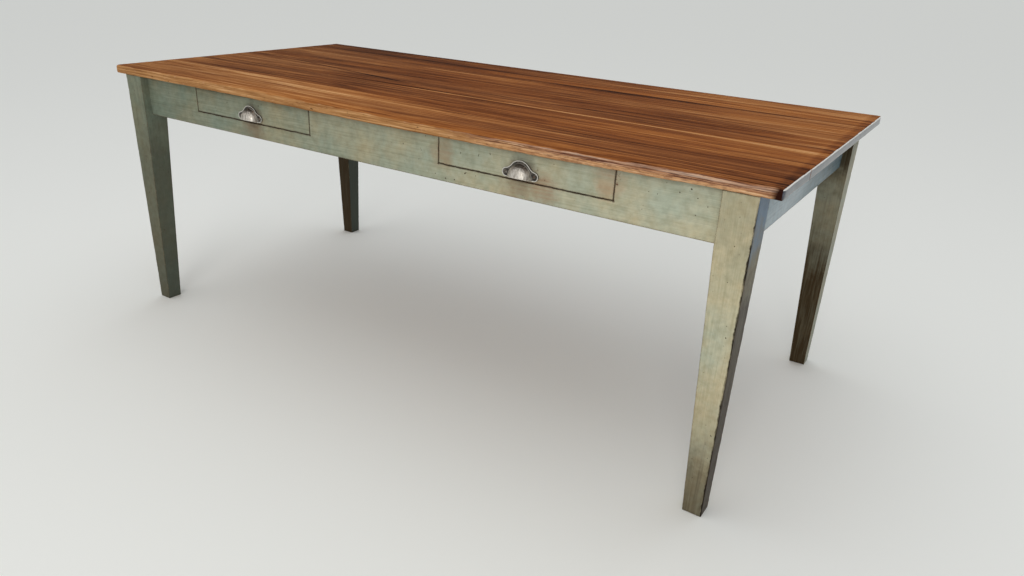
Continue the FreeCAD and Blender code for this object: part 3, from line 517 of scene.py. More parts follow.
class SagePaint(Finish):
    """Brushed sage-green paint; each layer is laid over the colour so far."""

    def __init__(self, name, grain):
        super().__init__(name)
        self.x, self.y, self.z = self.axes()
        stroke_scale = tuple(5 if letter == grain else 210 for letter in "XYZ")
        self.strokes = self.noise(self.scaled(stroke_scale), detail=4, roughness=0.6)
        self.hairs = self.noise(self.scaled(tuple(value * 3.5 for value in stroke_scale)), detail=2)
        self.patches = self.noise(self.scaled((1, 1, 1), (4, 1, 2)), 18, 4, 0.65)
        self.ragged = self.noise(self.scaled((46, 46, 46), (5, 3, 1)), detail=4, roughness=0.65)
        self.height = self.add(self.z, self.swing(self.patches, 0.06))
        normal = self.node("ShaderNodeNewGeometry").outputs["Normal"]
        right, back = self.node("ShaderNodeSeparateXYZ", {0: normal}).outputs[:2]
        self.on_right = self.spread(right, 0.5, 0.8)
        self.hidden = self.math("MAXIMUM", self.spread(back, 0.5, 0.8), self.spread(right, -0.5, -0.8))
        self.worn = self.edge_wear(normal)

    def edge_wear(self, normal):
        """About one on the arrises and nothing on the flats."""
        rounded = self.node("ShaderNodeBevel", {"Radius": RUBBED_RADIUS}, samples=4).outputs[0]
        agreement = self.node("ShaderNodeVectorMath", {0: rounded, 1: normal}, operation="DOT_PRODUCT")
        return self.spread(agreement.outputs["Value"], 1.0, 0.86)

    def layer(self, share, colour, blend="MIX"):
        self.colour = self.mix(share, self.colour, colour, blend)

    def brush_on(self, cool, olive):
        """Clouds of green and drab, paler to the right partly in their own tone and partly as painted
        light, with the strokes and hairs of the brush.
        """
        clouds = self.noise(self.place, 7, 5, 0.62)
        run = self.spread(self.add(self.x, self.swing(clouds, 0.2)), -0.85, 0.95)
        green = self.mix(run, GREEN_LEFT, GREEN_RIGHT)
        drab = self.mix(run, DRAB_LEFT, DRAB_RIGHT)
        self.colour = self.mix(self.spread(self.add(clouds, olive), 0.36, 0.64), green, drab)
        fresh = self.mix(0.5, green, tone(136, 152, 134))
        self.layer(self.spread(self.patches, 0.42, 0.66, 0, 0.3), fresh)
        # Painted cold reflection: the whole colour leans to blue by the share cool.
        self.layer(cool, tone(112, 158, 194))
        self.layer(self.spread(self.strokes, 0.40, 0.70, 0, 0.11), tone(214, 212, 194), "SCREEN")
        self.layer(self.spread(self.strokes, 0.48, 0.30, 0, 0.13), tone(120, 120, 96), "MULTIPLY")
        self.layer(self.spread(self.hairs, 0.35, 0.65, 0.16, 0), tone(148, 146, 124), "MULTIPLY")
        mottle = self.noise(self.place, 55, 4, 0.6)
        self.layer(self.spread(mottle, 0.35, 0.6, 0.22, 0), tone(140, 132, 104), "MULTIPLY")

    def stain_and_shadow(self, x, z, reach, colour):
        """A soft round mark, broken up by the strokes, for the soiled spots and the painted shadows alike.
        """
        gap = self.distance(self.point(self.x, 0, self.z), (x, 0, z))
        gap = self.add(gap, self.swing(self.patches, reach * 0.5))
        share = self.spread(gap, reach, reach * 0.3)
        self.layer(self.times(share, self.spread(self.strokes, 0.3, 0.65, 0.2, 0.6)), colour)

    def paint_side_reflection(self, share):
        """A painted reflection of cold light: blue at the top of the faces that look along +X."""
        sky = self.times(self.on_right, self.spread(self.height, 0.58, 0.70), share)
        self.layer(sky, tone(108, 140, 174))

    def soil_and_shade(self, dirt_and_shade, side_dirt_and_shade, side_share, side_tone):
        """Soiling and painted shade by height, with its own share, extra and tone on the faces that look
        along +X.
        """
        darkening = self.profile(self.height, 0, TABLE_HEIGHT, dirt_and_shade)
        darkening = self.times(darkening, self.spread(self.on_right, 0, 1, 1, side_share))
        extra = self.profile(self.height, 0, TABLE_HEIGHT, side_dirt_and_shade)
        darkening = self.add(darkening, self.times(self.on_right, extra))
        darkening = self.add(darkening, self.times(self.swing(self.strokes, 0.12), self.spread(darkening, 0, 0.3)))
        darkening = self.times(darkening, self.spread(self.hidden, 0, 1, 1, 0.4))
        self.layer(darkening, self.mix(self.on_right, DIRT_AND_SHADE_TONE, side_tone))

    def outline_drawers(self):
        """Paint fills the joints away from the drawers, and dirt lines the gaps around them."""
        past_middle = self.math("SUBTRACT", self.math("ABSOLUTE", self.x), DRAWER_X)
        aside = self.add(self.math("ABSOLUTE", past_middle), -HALF_DRAWER)
        above_rail = self.add(self.z, -RAIL_TOP)
        above_foot = self.add(self.z, -APRON_FOOT)
        filled = self.times(self.spread(aside, 0.004, 0.006), self.spread(above_foot, 0.006, 0.010))
        self.worn = self.times(self.worn, self.math("SUBTRACT", 1.0, filled))

        ragged = self.swing(self.noise(self.place, 70, 4, 0.6), 0.0016)
        sides = self.between(self.add(aside, ragged), 0.0002, DRAWER_GAP + 0.0006, 0.0010)
        sides = self.times(sides, self.spread(above_rail, -0.0030, -0.0015))
        sides = self.times(sides, self.spread(self.patches, 0.35, 0.6, 0.95, 0.4))
        foot = self.between(self.add(above_rail, ragged), -0.0001, DRAWER_GAP + 0.0003, 0.0009)
        foot = self.times(foot, self.spread(aside, 0.0045, 0.0035))
        self.layer(self.times(self.math("MAXIMUM", sides, foot), 0.8), tone(52, 32, 22))

        chips = self.noise(self.scaled((150, 150, 190), (3, 8, 5)), detail=2)
        chips = self.times(self.spread(chips, 0.60, 0.66), self.spread(above_rail, -0.0065, -0.0005))
        beside = self.between(self.add(self.x, -DRAWER_HIGH.x), 0.001, 0.011, 0.004)
        self.layer(self.times(chips, beside, 0.85), tone(96, 52, 36))

    def rub_edges(self):
        """Bare wood along the arrises, and black where dirt has settled in it."""
        breakup = self.noise(self.scaled((34, 34, 34)), detail=4, roughness=0.65)
        self.rubbed_and_highlit = self.spread(self.add(self.worn, self.swing(breakup, 0.34)), 0.52, 0.62)
        self.layer(self.times(self.rubbed_and_highlit, 0.7), tone(196, 176, 140))
        dark = self.spread(self.add(self.worn, self.swing(self.ragged, 0.32)), 0.50, 0.60)
        self.layer(self.times(dark, 0.9), tone(58, 38, 24))

    def blacken_arris(self, x, y):
        """A ragged black line down the upright arris at a place."""
        gap = self.distance(self.point(self.x, self.y, 0), (x, y, 0))
        line = self.spread(self.add(gap, self.swing(self.ragged, 0.0022)), 0.0040, 0.0028)
        line = self.times(line, self.spread(self.height, 0.74, 0.70))
        self.layer(self.times(line, self.spread(self.patches, 0.40, 0.55, 0.25, 0.95)), tone(34, 26, 20))

    def pit(self):
        """Small dark pits, in crowds."""
        pits = self.noise(self.scaled((130, 130, 130), (2, 6, 4)), detail=2)
        crowded = self.noise(self.scaled((1, 1, 1), (9, 2, 7)), 9, 2)
        self.pitted = self.spread(self.add(pits, self.swing(crowded, 0.05)), 0.735, 0.76)
        self.layer(self.pitted, tone(62, 48, 34))

    def set_gloss(self, cool):
        """Gloss and relief; cooler paint is smoother."""
        gloss = self.spread(self.strokes, 0.3, 0.7, 0.30 - 0.17 * cool, 0.42 - 0.22 * cool)
        gloss = self.add(gloss, self.times(self.rubbed_and_highlit, 0.15))
        self.set(Base_Color=self.colour, Roughness=gloss, IOR=1.45 if cool else 1.15)
        relief = self.add(self.strokes, self.times(self.hairs, 0.4), self.times(self.pitted, -1.5))
        self.bump(self.add(relief, self.times(self.rubbed_and_highlit, -0.6)), 0.00025 - 0.00018 * cool)


def sage_paint(name, grain, stains_and_shadows=(), dirt_and_shade=UNDARKENED, side_dirt_and_shade=UNDARKENED, side_share=1.0, side_tone=DIRT_AND_SHADE_TONE,
               cool=0.0, side_reflection=0.0, olive=0.0, arris=None, drawers=False):
    """Brushed sage-green paint.

    Grain is the way the strokes run; the round marks are (x, z, reach, colour), for the soiled spots and
    the painted shadows alike; and the darkening is (height, share) stops of soiling and painted shade.
    The faces that look along +X take side_share of that darkening and their own stops on top of it, all
    in side_tone, and a share of painted cold reflection near the top.  Cool lays a painted cold
    reflection over the whole colour and makes it smoother, and olive leans it to drab.  The upright arris
    at (x, y) is worn black.  With drawers, soiling lines their gaps and the paint fills the joints away
    from them.
    """
    made = SagePaint(name, grain)
    made.brush_on(cool, olive)
    for stain_and_shadow in stains_and_shadows:
        made.stain_and_shadow(*stain_and_shadow)
    made.paint_side_reflection(side_reflection)
    made.soil_and_shade(dirt_and_shade, side_dirt_and_shade, side_share, side_tone)
    if drawers:
        made.outline_drawers()
    made.rub_edges()
    if arris:
        made.blacken_arris(*arris)
    made.pit()
    made.set_gloss(cool)
    return made.material


def bare_wood(name, grain):
    """Planed pine, gone brown with age."""
    made = Finish(name)
    scale = tuple(2.5 if letter == grain else 60 for letter in "XYZ")
    rings = made.noise(made.scaled(scale), detail=4, roughness=0.55, distortion=0.3)
    fibre = made.noise(made.scaled(tuple(value * 7 for value in scale)), detail=2)
    colour = made.ramp(rings, ((0.3, tone(150, 110, 68)), (0.5, tone(186, 146, 98)),
                               (0.7, tone(206, 172, 126))))
    colour = made.mix(made.spread(fibre, 0.35, 0.65, 0.3, 0), colour, tone(112, 78, 46))
    darkening = made.noise(made.place, 9, 4)
    colour = made.mix(made.spread(darkening, 0.45, 0.7, 0, 0.4), colour, tone(120, 92, 62))
    made.set(Base_Color=colour, Roughness=0.68, Specular_IOR_Level=0.3)
    made.bump(made.add(rings, made.times(fibre, 0.6)), 0.0003)
    return made.material


def pull_metal(name):
    """Old white-metal casting: black patina in the recesses; the lower bowl and the plate pale, partly
    worn bright by hands and partly painted highlight.
    """
    made = Finish(name)
    x, y, z = made.axes()
    mottle = made.noise(made.scaled((230, 230, 230)), detail=4, roughness=0.65)
    # Upright streaks of painted highlight for the pale part of the bowl.
    runs = made.noise(made.scaled((330, 330, 50)), detail=3)
    depth = made.add(y, made.swing(mottle, 0.0002))
    sunk = made.spread(depth, PULL_BACK - 0.0034, PULL_BACK - 0.0028)
    height = made.add(z, made.swing(mottle, 0.010))
    # The lower bowl pale: worn bright by hands, and a painted reflection.
    rubbed_and_highlit = made.spread(height, PULL_FOOT + 0.0310, PULL_FOOT + 0.0205)
    bright = made.ramp(runs, ((0.3, tone(150, 143, 134)), (0.5, tone(198, 192, 184)),
                              (0.7, tone(228, 224, 218))))
    dull = made.ramp(mottle, ((0.35, tone(44, 41, 38)), (0.55, tone(84, 79, 74)),
                              (0.7, tone(140, 134, 126))))
    colour = made.mix(rubbed_and_highlit, dull, bright)
    # The plate and its rim pale: worn metal, and a painted highlight along the rim.
    on_plate = made.spread(y, PULL_BACK - 0.0060, PULL_BACK - 0.0050)
    colour = made.mix(on_plate, colour, tone(216, 214, 208))
    colour = made.mix(sunk, colour, dull)
    made.set(Base_Color=colour, Metallic=0.65, Roughness=made.spread(mottle, 0.3, 0.7, 0.30, 0.52))
    made.bump(mottle, 0.0003)
    return made.material


def dull_steel(name):
    made = Finish(name)
    rust = made.noise(made.place, 300, 3)
    colour = made.mix(made.spread(rust, 0.45, 0.65), tone(128, 124, 118), tone(96, 66, 46))
    made.set(Base_Color=colour, Metallic=0.9, Roughness=made.spread(rust, 0.4, 0.7, 0.35, 0.6))
    return made.material


def grain_of(node):
    """The way the grain and the brush run: along the longest side."""
    low, high = box(node)
    sides = high - low
    return "XYZ"[max(range(3), key=lambda axis: sides[axis])]


PULL_STAINS_AND_SHADOWS = [(side * DRAWER_X, PULL_FOOT - 0.0085, 0.060, tone(122, 84, 58)) for side in (-1, 1)]
# A dark painted shadow above each pull, a little to its right.
PULL_STAINS_AND_SHADOWS += [(side * DRAWER_X + 0.003, PULL_FOOT + 0.0255, 0.044, tone(26, 24, 20))
                for side in (-1, 1)]
DRAWER_STAINS = [(0.672, 0.712, 0.045, tone(172, 136, 106)), (0.235, 0.700, 0.045, tone(150, 122, 96)),
                 (0.51, 0.664, 0.05, tone(150, 112, 84))]
FRONT_PAINT = sage_paint("sage_paint_front", "X", PULL_STAINS_AND_SHADOWS + DRAWER_STAINS, drawers=True)
# The pieces along Y take a strong painted cold reflection; the left end apron only a weak one.
PAINT = {"X": sage_paint("sage_paint_back", "X"),
         "Y": sage_paint("sage_paint_ends", "Y", cool=0.7),
         "Z": sage_paint("sage_paint_blocks", "Z")}
LEFT_END_PAINT = sage_paint("sage_paint_left_end", "Y", cool=0.15)
# Per leg: darker at the feet by soiling and painted shade, and by painted shade under the top, on the left
# legs, on faces along +X and over most of the back legs.
# The front right leg also takes a painted cold reflection high on its +X face.
LEG_LOOKS = {
    "leg_front_right": dict(
        dirt_and_shade=((0, 0.78), (0.1, 0.68), (0.2, 0.30), (0.32, 0.06), (0.45, 0.02), (0.60, 0.06),
               (0.68, 0.19), (TABLE_HEIGHT, 0.20)),
        side_dirt_and_shade=((0, 0.7), (0.2, 0.9), (0.5, 0.92), (0.62, 0.5), (0.70, 0.0), (TABLE_HEIGHT, 0.0)),
        side_reflection=0.9, olive=0.10, arris=(LEG_OUT_X, -LEG_OUT_Y)),
    "leg_front_left": dict(
        dirt_and_shade=((0, 0.66), (0.1, 0.60), (0.3, 0.44), (0.5, 0.40), (0.68, 0.08), (TABLE_HEIGHT, 0.05)),
        side_dirt_and_shade=((0, 0.1), (0.5, 0.22), (0.68, 0.0), (TABLE_HEIGHT, 0.0)),
        side_tone=COLD_DIRT_AND_SHADE_TONE),
    "leg_back_right": dict(
        dirt_and_shade=((0, 0.98), (0.30, 0.96), (0.40, 0.80), (0.48, 0.60), (0.54, 0.58), (0.60, 0.76),
               (0.66, 0.96), (TABLE_HEIGHT, 0.98)),
        side_share=0.45),
    "leg_back_left": dict(
        dirt_and_shade=((0, 0.98), (0.3, 0.98), (0.68, 0.88), (TABLE_HEIGHT, 0.8)),
        side_tone=COLD_DIRT_AND_SHADE_TONE),
}
LEG_PAINT = {node: sage_paint(f"sage_paint_{node}", "Z", **looks) for node, looks in LEG_LOOKS.items()}
PINE = {letter: bare_wood(f"bare_pine_{letter.lower()}", letter) for letter in "XYZ"}
CAST_METAL = pull_metal("cast_white_metal")
STEEL = dull_steel("dull_steel")
END_VARNISH = end_varnish("varnished_end_grain")


def finish_of(node):
    slot = SLOT_OF[node]
    if node in LEG_PAINT:
        return LEG_PAINT[node]
    if node == "left_apron":
        return LEFT_END_PAINT
    if node.startswith(("front_rail", "front_stile")) or node.endswith("drawer_front"):
        return FRONT_PAINT
    if slot == "painted_wood":
        return PAINT[grain_of(node)]
    if slot == "pull_iron":
        return CAST_METAL
    return STEEL if slot == "screw_steel" else PINE[grain_of(node)]


for node in SLOT_OF:
    thing = frame["nodes"][node]
    thing.data.materials.clear()
    thing.data.materials.append(finish_of(node))


# Top.

NOSE = 0.009
NEAR_EDGE = 0.016
WORN_BAND = 0.034
CUTS_ALONG, CUTS_ACROSS = 400, 10
SAG = 0.005
RUBBED_OFF = 0.002
END_FACING = 0.75


def sink(thing, group, depth):
    """Lower the surface by a depth, times the weight of the group."""
    modify(thing, "DISPLACE", direction="Z", vertex_group=group, mid_level=0, strength=-depth)


def climb(value, start, finish):
    """Nothing at the start and one at the finish, which may lie on either side of it."""
    share = max(0, min(1, (value - start) / (finish - start)))
    return share * share * (3 - 2 * share)


def bell(value, start, top_start, top_finish, finish):
    """Nothing before the start, one between the tops, nothing after the finish."""
    return climb(value, start, top_start) * climb(value, finish, top_finish)


def sag(point):
    """The overhang of the front board, hanging lower in the middle of the table."""
    return bell(point.x, -0.62, 0.15, 0.5, 0.92) * climb(point.y, TOP_LOW.y + 0.032, TOP_LOW.y + 0.012)


def rubbed_and_highlit(point):
    """The upper edge of the front board, where forearms have rested."""
    outer = climb(point.y, TOP_LOW.y + 0.015, TOP_LOW.y + 0.001)
    upper = climb(point.z, TABLE_HEIGHT - 0.015, TABLE_HEIGHT - 0.003)
    return bell(point.x, -0.5, 0.2, 0.6, 0.95) * outer * upper


def make_board(kind, drop, seed, tones, marks):
    """A board of the top: worn round along the table's sides and ends, barely eased at its seams."""
    node = f"top_board_{kind}"
    low, high = box(node)
    high.z -= drop
    made = block(f"{node}_worn", low, high)
    sides = [side for side, edge, outer in ((1, low.y, TOP_LOW.y), (-1, high.y, TOP_HIGH.y))
             if abs(edge - outer) < NOSE]
    for inset in (NEAR_EDGE, WORN_BAND):
        saw(made, (low.x + inset, 0, 0), (1, 0, 0))
        saw(made, (high.x - inset, 0, 0), (1, 0, 0))
        for side in sides:
            outer = low.y if side > 0 else high.y
            saw(made, (0, outer + side * inset, 0), (0, 1, 0))

    def runs(axis):
        """Test for the long edges along an axis, between the bands."""
        def wanted(edge):
            first, last = ends(made, edge)
            return abs(getattr(first, axis) - getattr(last, axis)) > 2 * WORN_BAND
        return wanted

    divide(made, CUTS_ALONG, runs("x"))
    divide(made, CUTS_ACROSS, runs("y"))

    def along(**places):
        """Test for edges whose two ends have the given coordinates."""
        def wanted(edge):
            return all(abs(getattr(point, axis) - place) < TOLERANCE
                       for point in ends(made, edge) for axis, place in places.items())
        return wanted

    # Shares of the nose: the seams, the two ends above, the ends below, and then the worn sides.
    rules = [(0.07, along(y=place, z=height)) for place in (low.y, high.y) for height in (low.z, high.z)]
    rules += [(0.4, along(x=high.x, z=high.z)), (0.75, along(x=low.x, z=high.z))]
    rules += [(0.45, along(x=place, z=low.z)) for place in (low.x, high.x)]
    for side in sides:
        outer = low.y if side > 0 else high.y
        rules += [(1.0, along(y=outer, z=high.z)), (0.55, along(y=outer, z=low.z))]
        rules += [(1.2, along(x=place, y=outer)) for place in (low.x, high.x)]
    round_off(made, NOSE, 6, rules)

    def nearness(point):
        """One at a worn edge of the board, and nothing past the worn band."""
        gaps = [point.x - low.x, high.x - point.x]
        gaps += [point.y - low.y if side > 0 else high.y - point.y for side in sides]
        return 1 - min(gaps) / WORN_BAND

    edge_band = weigh(made, "edge_band", nearness)
    hollow, dent = (0.0014, 0.0012) if kind == "front" else (0.0005, 0.0006)
    wear(made, edge_band, depth=hollow, size=0.05)
    wear(made, edge_band, depth=dent, size=0.008, contrast=3, brightness=0.4)
    if kind == "front":
        sink(made, weigh(made, "sag", sag), SAG)
        sink(made, weigh(made, "rubbed_and_highlit", rubbed_and_highlit), RUBBED_OFF)
    smooth(made, 50)
    stand_in(made, node, varnished_board(f"varnished_{kind}", seed, tones, marks, nose=kind == "front"))
    made.data.materials.append(END_VARNISH)
    for face in made.data.polygons:
        if face.normal.x > END_FACING:
            face.material_index = 1


# Each board: its kind, how far its face lies below the full height, the seed of its grain, its (x, tone)
# stops, and its marks, each with its start, finish, y at each, half width and change of tone.
BOARDS = (
    ("front", 0, 3,
     ((-1.0, 0.60), (-0.6, 0.73), (-0.25, 0.74), (0.0, 0.63), (0.3, 0.59), (0.6, 0.50), (1.0, 0.48)),
     ((-0.177, 0.983, -0.347, -0.320, 0.005, -0.30), (-0.86, -0.70, -0.438, -0.438, 0.004, -0.25),
      (-0.84, -0.72, -0.415, -0.418, 0.004, -0.22), (-0.6, 0.2, -0.40, -0.39, 0.012, 0.10),
      (0.1, 0.95, -0.43, -0.425, 0.010, -0.12))),
    ("front_middle", 0.0003, 11,
     ((-1.0, 0.58), (-0.6, 0.54), (-0.3, 0.53), (0.0, 0.56), (0.3, 0.56), (0.6, 0.60), (1.0, 0.66)),
     ((-0.177, 1.022, -0.129, -0.138, 0.006, 0.34), (-0.9, -0.2, -0.25, -0.255, 0.014, -0.12),
      (-0.8, 0.0, -0.16, -0.165, 0.010, -0.10), (0.1, 0.9, -0.24, -0.23, 0.010, 0.10))),
    ("middle", 0.0001, 19,
     ((-1.0, 0.56), (-0.6, 0.48), (-0.3, 0.39), (0.0, 0.44), (0.3, 0.51), (0.6, 0.48), (1.0, 0.67)),
     ((-0.770, -0.242, 0.027, -0.067, 0.006, -0.42), (-0.42, -0.20, -0.035, -0.067, 0.007, -0.35),
      (-0.95, -0.48, -0.053, -0.058, 0.009, 0.20), (-0.93, -0.50, -0.082, -0.093, 0.007, 0.16),
      (0.22, 0.90, 0.05, 0.03, 0.020, -0.18), (0.25, 0.85, 0.0, -0.012, 0.012, -0.20),
      (0.30, 0.90, -0.05, -0.05, 0.016, -0.18), (0.25, 0.80, -0.09, -0.10, 0.012, -0.14))),
    ("back_middle", 0.0004, 27,
     ((-1.0, 0.45), (-0.6, 0.52), (-0.3, 0.45), (0.0, 0.53), (0.3, 0.45), (0.6, 0.53), (1.0, 0.62)),
     ((-0.38, 0.09, 0.227, 0.227, 0.013, 0.24), (0.113, 0.877, 0.262, 0.266, 0.016, -0.26),
      (-0.8, 0.3, 0.13, 0.12, 0.012, -0.14))),
    ("back", 0.0002, 35,
     ((-1.0, 0.40), (-0.6, 0.38), (-0.3, 0.46), (0.0, 0.50), (0.3, 0.53), (0.6, 0.60), (1.0, 0.71)),
     ((-0.9, -0.1, 0.36, 0.35, 0.016, -0.14), (0.0, 0.9, 0.42, 0.43, 0.014, 0.10))),
)
for board in BOARDS:
    make_board(*board)


# Legs.

FOOT_WIDTH = 0.046
FOOT_SHARE = FOOT_WIDTH / LEG_WIDTH
HEAD_HEIGHT = LEG_HIGH.z - APRON_FOOT
TAPER_CUTS, HEAD_CUTS = 90, 16
LEG_STRIP = 0.008
ARRIS_WIDTH = 0.0025
ARRIS_REACH = 0.02
HIDDEN_TOP = 0.01


def model_leg():
    """Leg with its outer corner on the Z axis: square at the aprons, tapered on its inner faces."""
    leg = block("leg_model", (0, 0, 0), (LEG_WIDTH, LEG_WIDTH, LEG_HIGH.z))
    for inset in (LEG_STRIP, LEG_WIDTH - LEG_STRIP):
        saw(leg, (inset, 0, 0), (1, 0, 0))
        saw(leg, (0, inset, 0), (0, 1, 0))
    saw(leg, (0, 0, APRON_FOOT), (0, 0, 1))
    edit(leg, "VERT", lambda point: point.co.z < TOLERANCE)
    bpy.ops.transform.resize(value=(FOOT_SHARE, FOOT_SHARE, 1), center_override=(0, 0, 0))
    close()

    def climbs(least, most):
        """Test for the edges that climb by a height between two limits."""
        def wanted(edge):
            first, last = ends(leg, edge)
            return least < abs(first.z - last.z) < most
        return wanted

    divide(leg, TAPER_CUTS, climbs(2 * HEAD_HEIGHT, LEG_HIGH.z))
    divide(leg, HEAD_CUTS, climbs(HEAD_HEIGHT / 2, 2 * HEAD_HEIGHT))

    def is_corner(*corners):
        """Test for the upright edges at corners of the section, such as 00 for the outer one."""
        def wanted(edge):
            first, last = ends(leg, edge)
            if abs(first.z - last.z) < 4 * SLACK:
                return False
            width = LEG_WIDTH
            if first.z < APRON_FOOT:
                width *= FOOT_SHARE + (1 - FOOT_SHARE) * first.z / APRON_FOOT
            place = tuple(0 if value < SLACK else 1 if value > width - SLACK else 0.5
                          for value in (first.x, first.y))
            return place in corners
        return wanted

    def is_foot(edge):
        """Test for the edges round the foot."""
        inner = FOOT_WIDTH - SLACK
        return all(point.z < TOLERANCE and (min(point.x, point.y) < SLACK or max(point.x, point.y) > inner)
                   for point in ends(leg, edge))

    inner_corners = is_corner((0, 1), (1, 0), (1, 1))
    round_off(leg, ARRIS_WIDTH, 3, ((1.0, is_corner((0, 0))), (0.6, inner_corners), (0.6, is_foot)))
    return leg


def make_legs():
    model = model_leg()
    for number, (corner, side_x, side_y) in enumerate((("front_left", -1, -1), ("front_right", 1, -1),
                                                       ("back_right", 1, 1), ("back_left", -1, 1))):
        node = f"leg_{corner}"
        low, high = box(node)
        leg = copy_of(model, f"{node}_worn")
        outer = (high.x if side_x > 0 else low.x, high.y if side_y > 0 else low.y, 0)
        place_in_mesh(leg, outer, math.radians(90 * number))

        def nearness(point):
            """One on the two outer faces, nothing further in, and nothing right under the top."""
            gap = min(abs(point.x - outer[0]), abs(point.y - outer[1]))
            return 1 - gap / ARRIS_REACH if point.z < LEG_HIGH.z - HIDDEN_TOP else 0

        edges = weigh(leg, "edges", nearness)
        wear(leg, edges, depth=0.0010, size=0.04)
        wear(leg, edges, depth=0.0009, size=0.008, contrast=3, brightness=0.35)
        smooth(leg, 40)
        stand_in(leg, node, finish_of(node))
    bpy.data.objects.remove(model)


make_legs()


# Aprons, rails, stiles, drawers and the pieces underneath.

FLUSH_EDGE = 0.0002
EASED_EDGE = 0.0012

for node, slot in SLOT_OF.items():
    if slot in ("painted_wood", "bare_wood") and not node.startswith("leg_"):
        flush = node.startswith(("front_stile", "front_rail"))
        eased_copy(node, FLUSH_EDGE if flush else EASED_EDGE, finish_of(node))


# Pulls.

EAR_RADIUS = 0.0105
ARCH_RADIUS = 0.030
FLARE_RADIUS = 0.024
PLATE = 0.004
RIM_WIDTH = 0.002
RIM_HEIGHT = 0.0015
BOWL = Vector((0.032, 0.026, 0.036))
BOWL_WALL = 0.0026
LIP_TILT = math.atan2(0.006, 0.022)
LIP_BEAD = 0.0016
CASTING_GRAIN = 0.0004
SCREW_EDGE = 0.0004
SLOT_WIDTH = 0.0012
SLOT_DEPTH = 0.0014
SLOT_REACH = 0.02
CLEAR = 0.06


def circle_on(first, first_radius, second, second_radius, radius):
    """Middle of a circle of a radius that touches two others from above, and where it touches each."""
    along = second - first
    first_reach, second_reach = first_radius + radius, second_radius + radius
    share = (first_reach ** 2 - second_reach ** 2 + along.length ** 2) / (2 * along.length)
    rise = math.sqrt(first_reach ** 2 - share ** 2)
    way = along.normalized()
    middle = first + way * share + Vector((-way.y, way.x)) * rise
    on_first = first.lerp(middle, first_radius / first_reach)
    on_second = second.lerp(middle, second_radius / second_reach)
    return middle, on_first, on_second


def spin_round(middle, start, finish, steps):
    """Carry the selected point round a middle, from a start to a finish, all on the XZ plane."""
    turn = -(start - middle).angle_signed(finish - middle)
    bpy.ops.mesh.spin(steps=steps, angle=turn, center=(middle.x, 0, middle.y), axis=(0, 1, 0))


def bell_plate():
    """Plate of a pull: a round arch that flares into two ears, its face sunk inside a raised rim."""
    arch = Vector((0, PULL_HEIGHT - ARCH_RADIUS))
    ear = Vector((PULL_WIDTH / 2 - EAR_RADIUS, EAR_RADIUS))
    flare, on_arch, on_ear = circle_on(arch, ARCH_RADIUS, ear, EAR_RADIUS, FLARE_RADIUS)
    crown, tip, foot = Vector((0, PULL_HEIGHT)), Vector((PULL_WIDTH / 2, ear.y)), Vector((ear.x, 0))
    plate = primitive(bpy.ops.mesh.primitive_plane_add, "pull_model", size=PLATE, location=(0, 0, 0))
    edit(plate, "VERT", lambda point: True)
    bpy.ops.mesh.merge(type="CENTER")
    bpy.ops.transform.translate(value=(0, 0, PULL_HEIGHT))
    spin_round(arch, crown, on_arch, 20)
    spin_round(flare, on_arch, on_ear, 8)
    spin_round(ear, on_ear, tip, 12)
    spin_round(ear, tip, foot, 10)
    bpy.ops.mesh.extrude_region_move(TRANSFORM_OT_translate={"value": (-ear.x, 0, 0)})
    bpy.ops.mesh.select_all(action="SELECT")
    bpy.ops.mesh.edge_face_add()
    close()
    modify(plate, "MIRROR")
    edit(plate, "FACE", lambda face: True)
    bpy.ops.mesh.dissolve_limited(angle_limit=math.radians(0.1))
    bpy.ops.mesh.extrude_region_move(TRANSFORM_OT_translate={"value": (0, -PLATE, 0)})
    bpy.ops.mesh.select_all(action="SELECT")
    bpy.ops.mesh.normals_make_consistent(inside=False)
    close()
    edit(plate, "FACE", lambda face: face.normal.y < -0.99)
    bpy.ops.mesh.inset(thickness=RIM_WIDTH)
    bpy.ops.mesh.extrude_region_move(TRANSFORM_OT_translate={"value": (0, RIM_HEIGHT, 0)})
    close()
    return plate


def ellipsoid(radii):
    made = primitive(bpy.ops.mesh.primitive_uv_sphere_add, "ellipsoid", segments=64, ring_count=32,
                     radius=1, location=(0, 0, 0))
    made.scale = radii
    settle(made)
    return made


def cut_away(thing, low, high, place=(0, 0, 0), tilt=0.0):
    """Cut away a block, tilted about the X axis through a place."""
    tool = block("tool", low, high)
    tool.rotation_euler = (tilt, 0, 0)
    tool.location = place
    settle(tool)
    combine(thing, tool, "DIFFERENCE")


def lip_bead():
    """Rolled edge of the bowl: a ring around its mouth, tilted with it."""
    reach = (BOWL.x + BOWL.y) / 2
    bead = primitive(bpy.ops.mesh.primitive_torus_add, "bead", major_radius=reach, minor_radius=LIP_BEAD,
                     major_segments=96, minor_segments=16, location=(0, 0, 0))
    bead.scale = ((BOWL.x - LIP_BEAD / 4) / reach, (BOWL.y - LIP_BEAD / 4) / reach, 1)
    settle(bead)
    bead.rotation_euler = (-LIP_TILT, 0, 0)
    bead.location = (0, 0, -PLATE * math.tan(LIP_TILT) + LIP_BEAD * 0.6)
    settle(bead)
    return bead


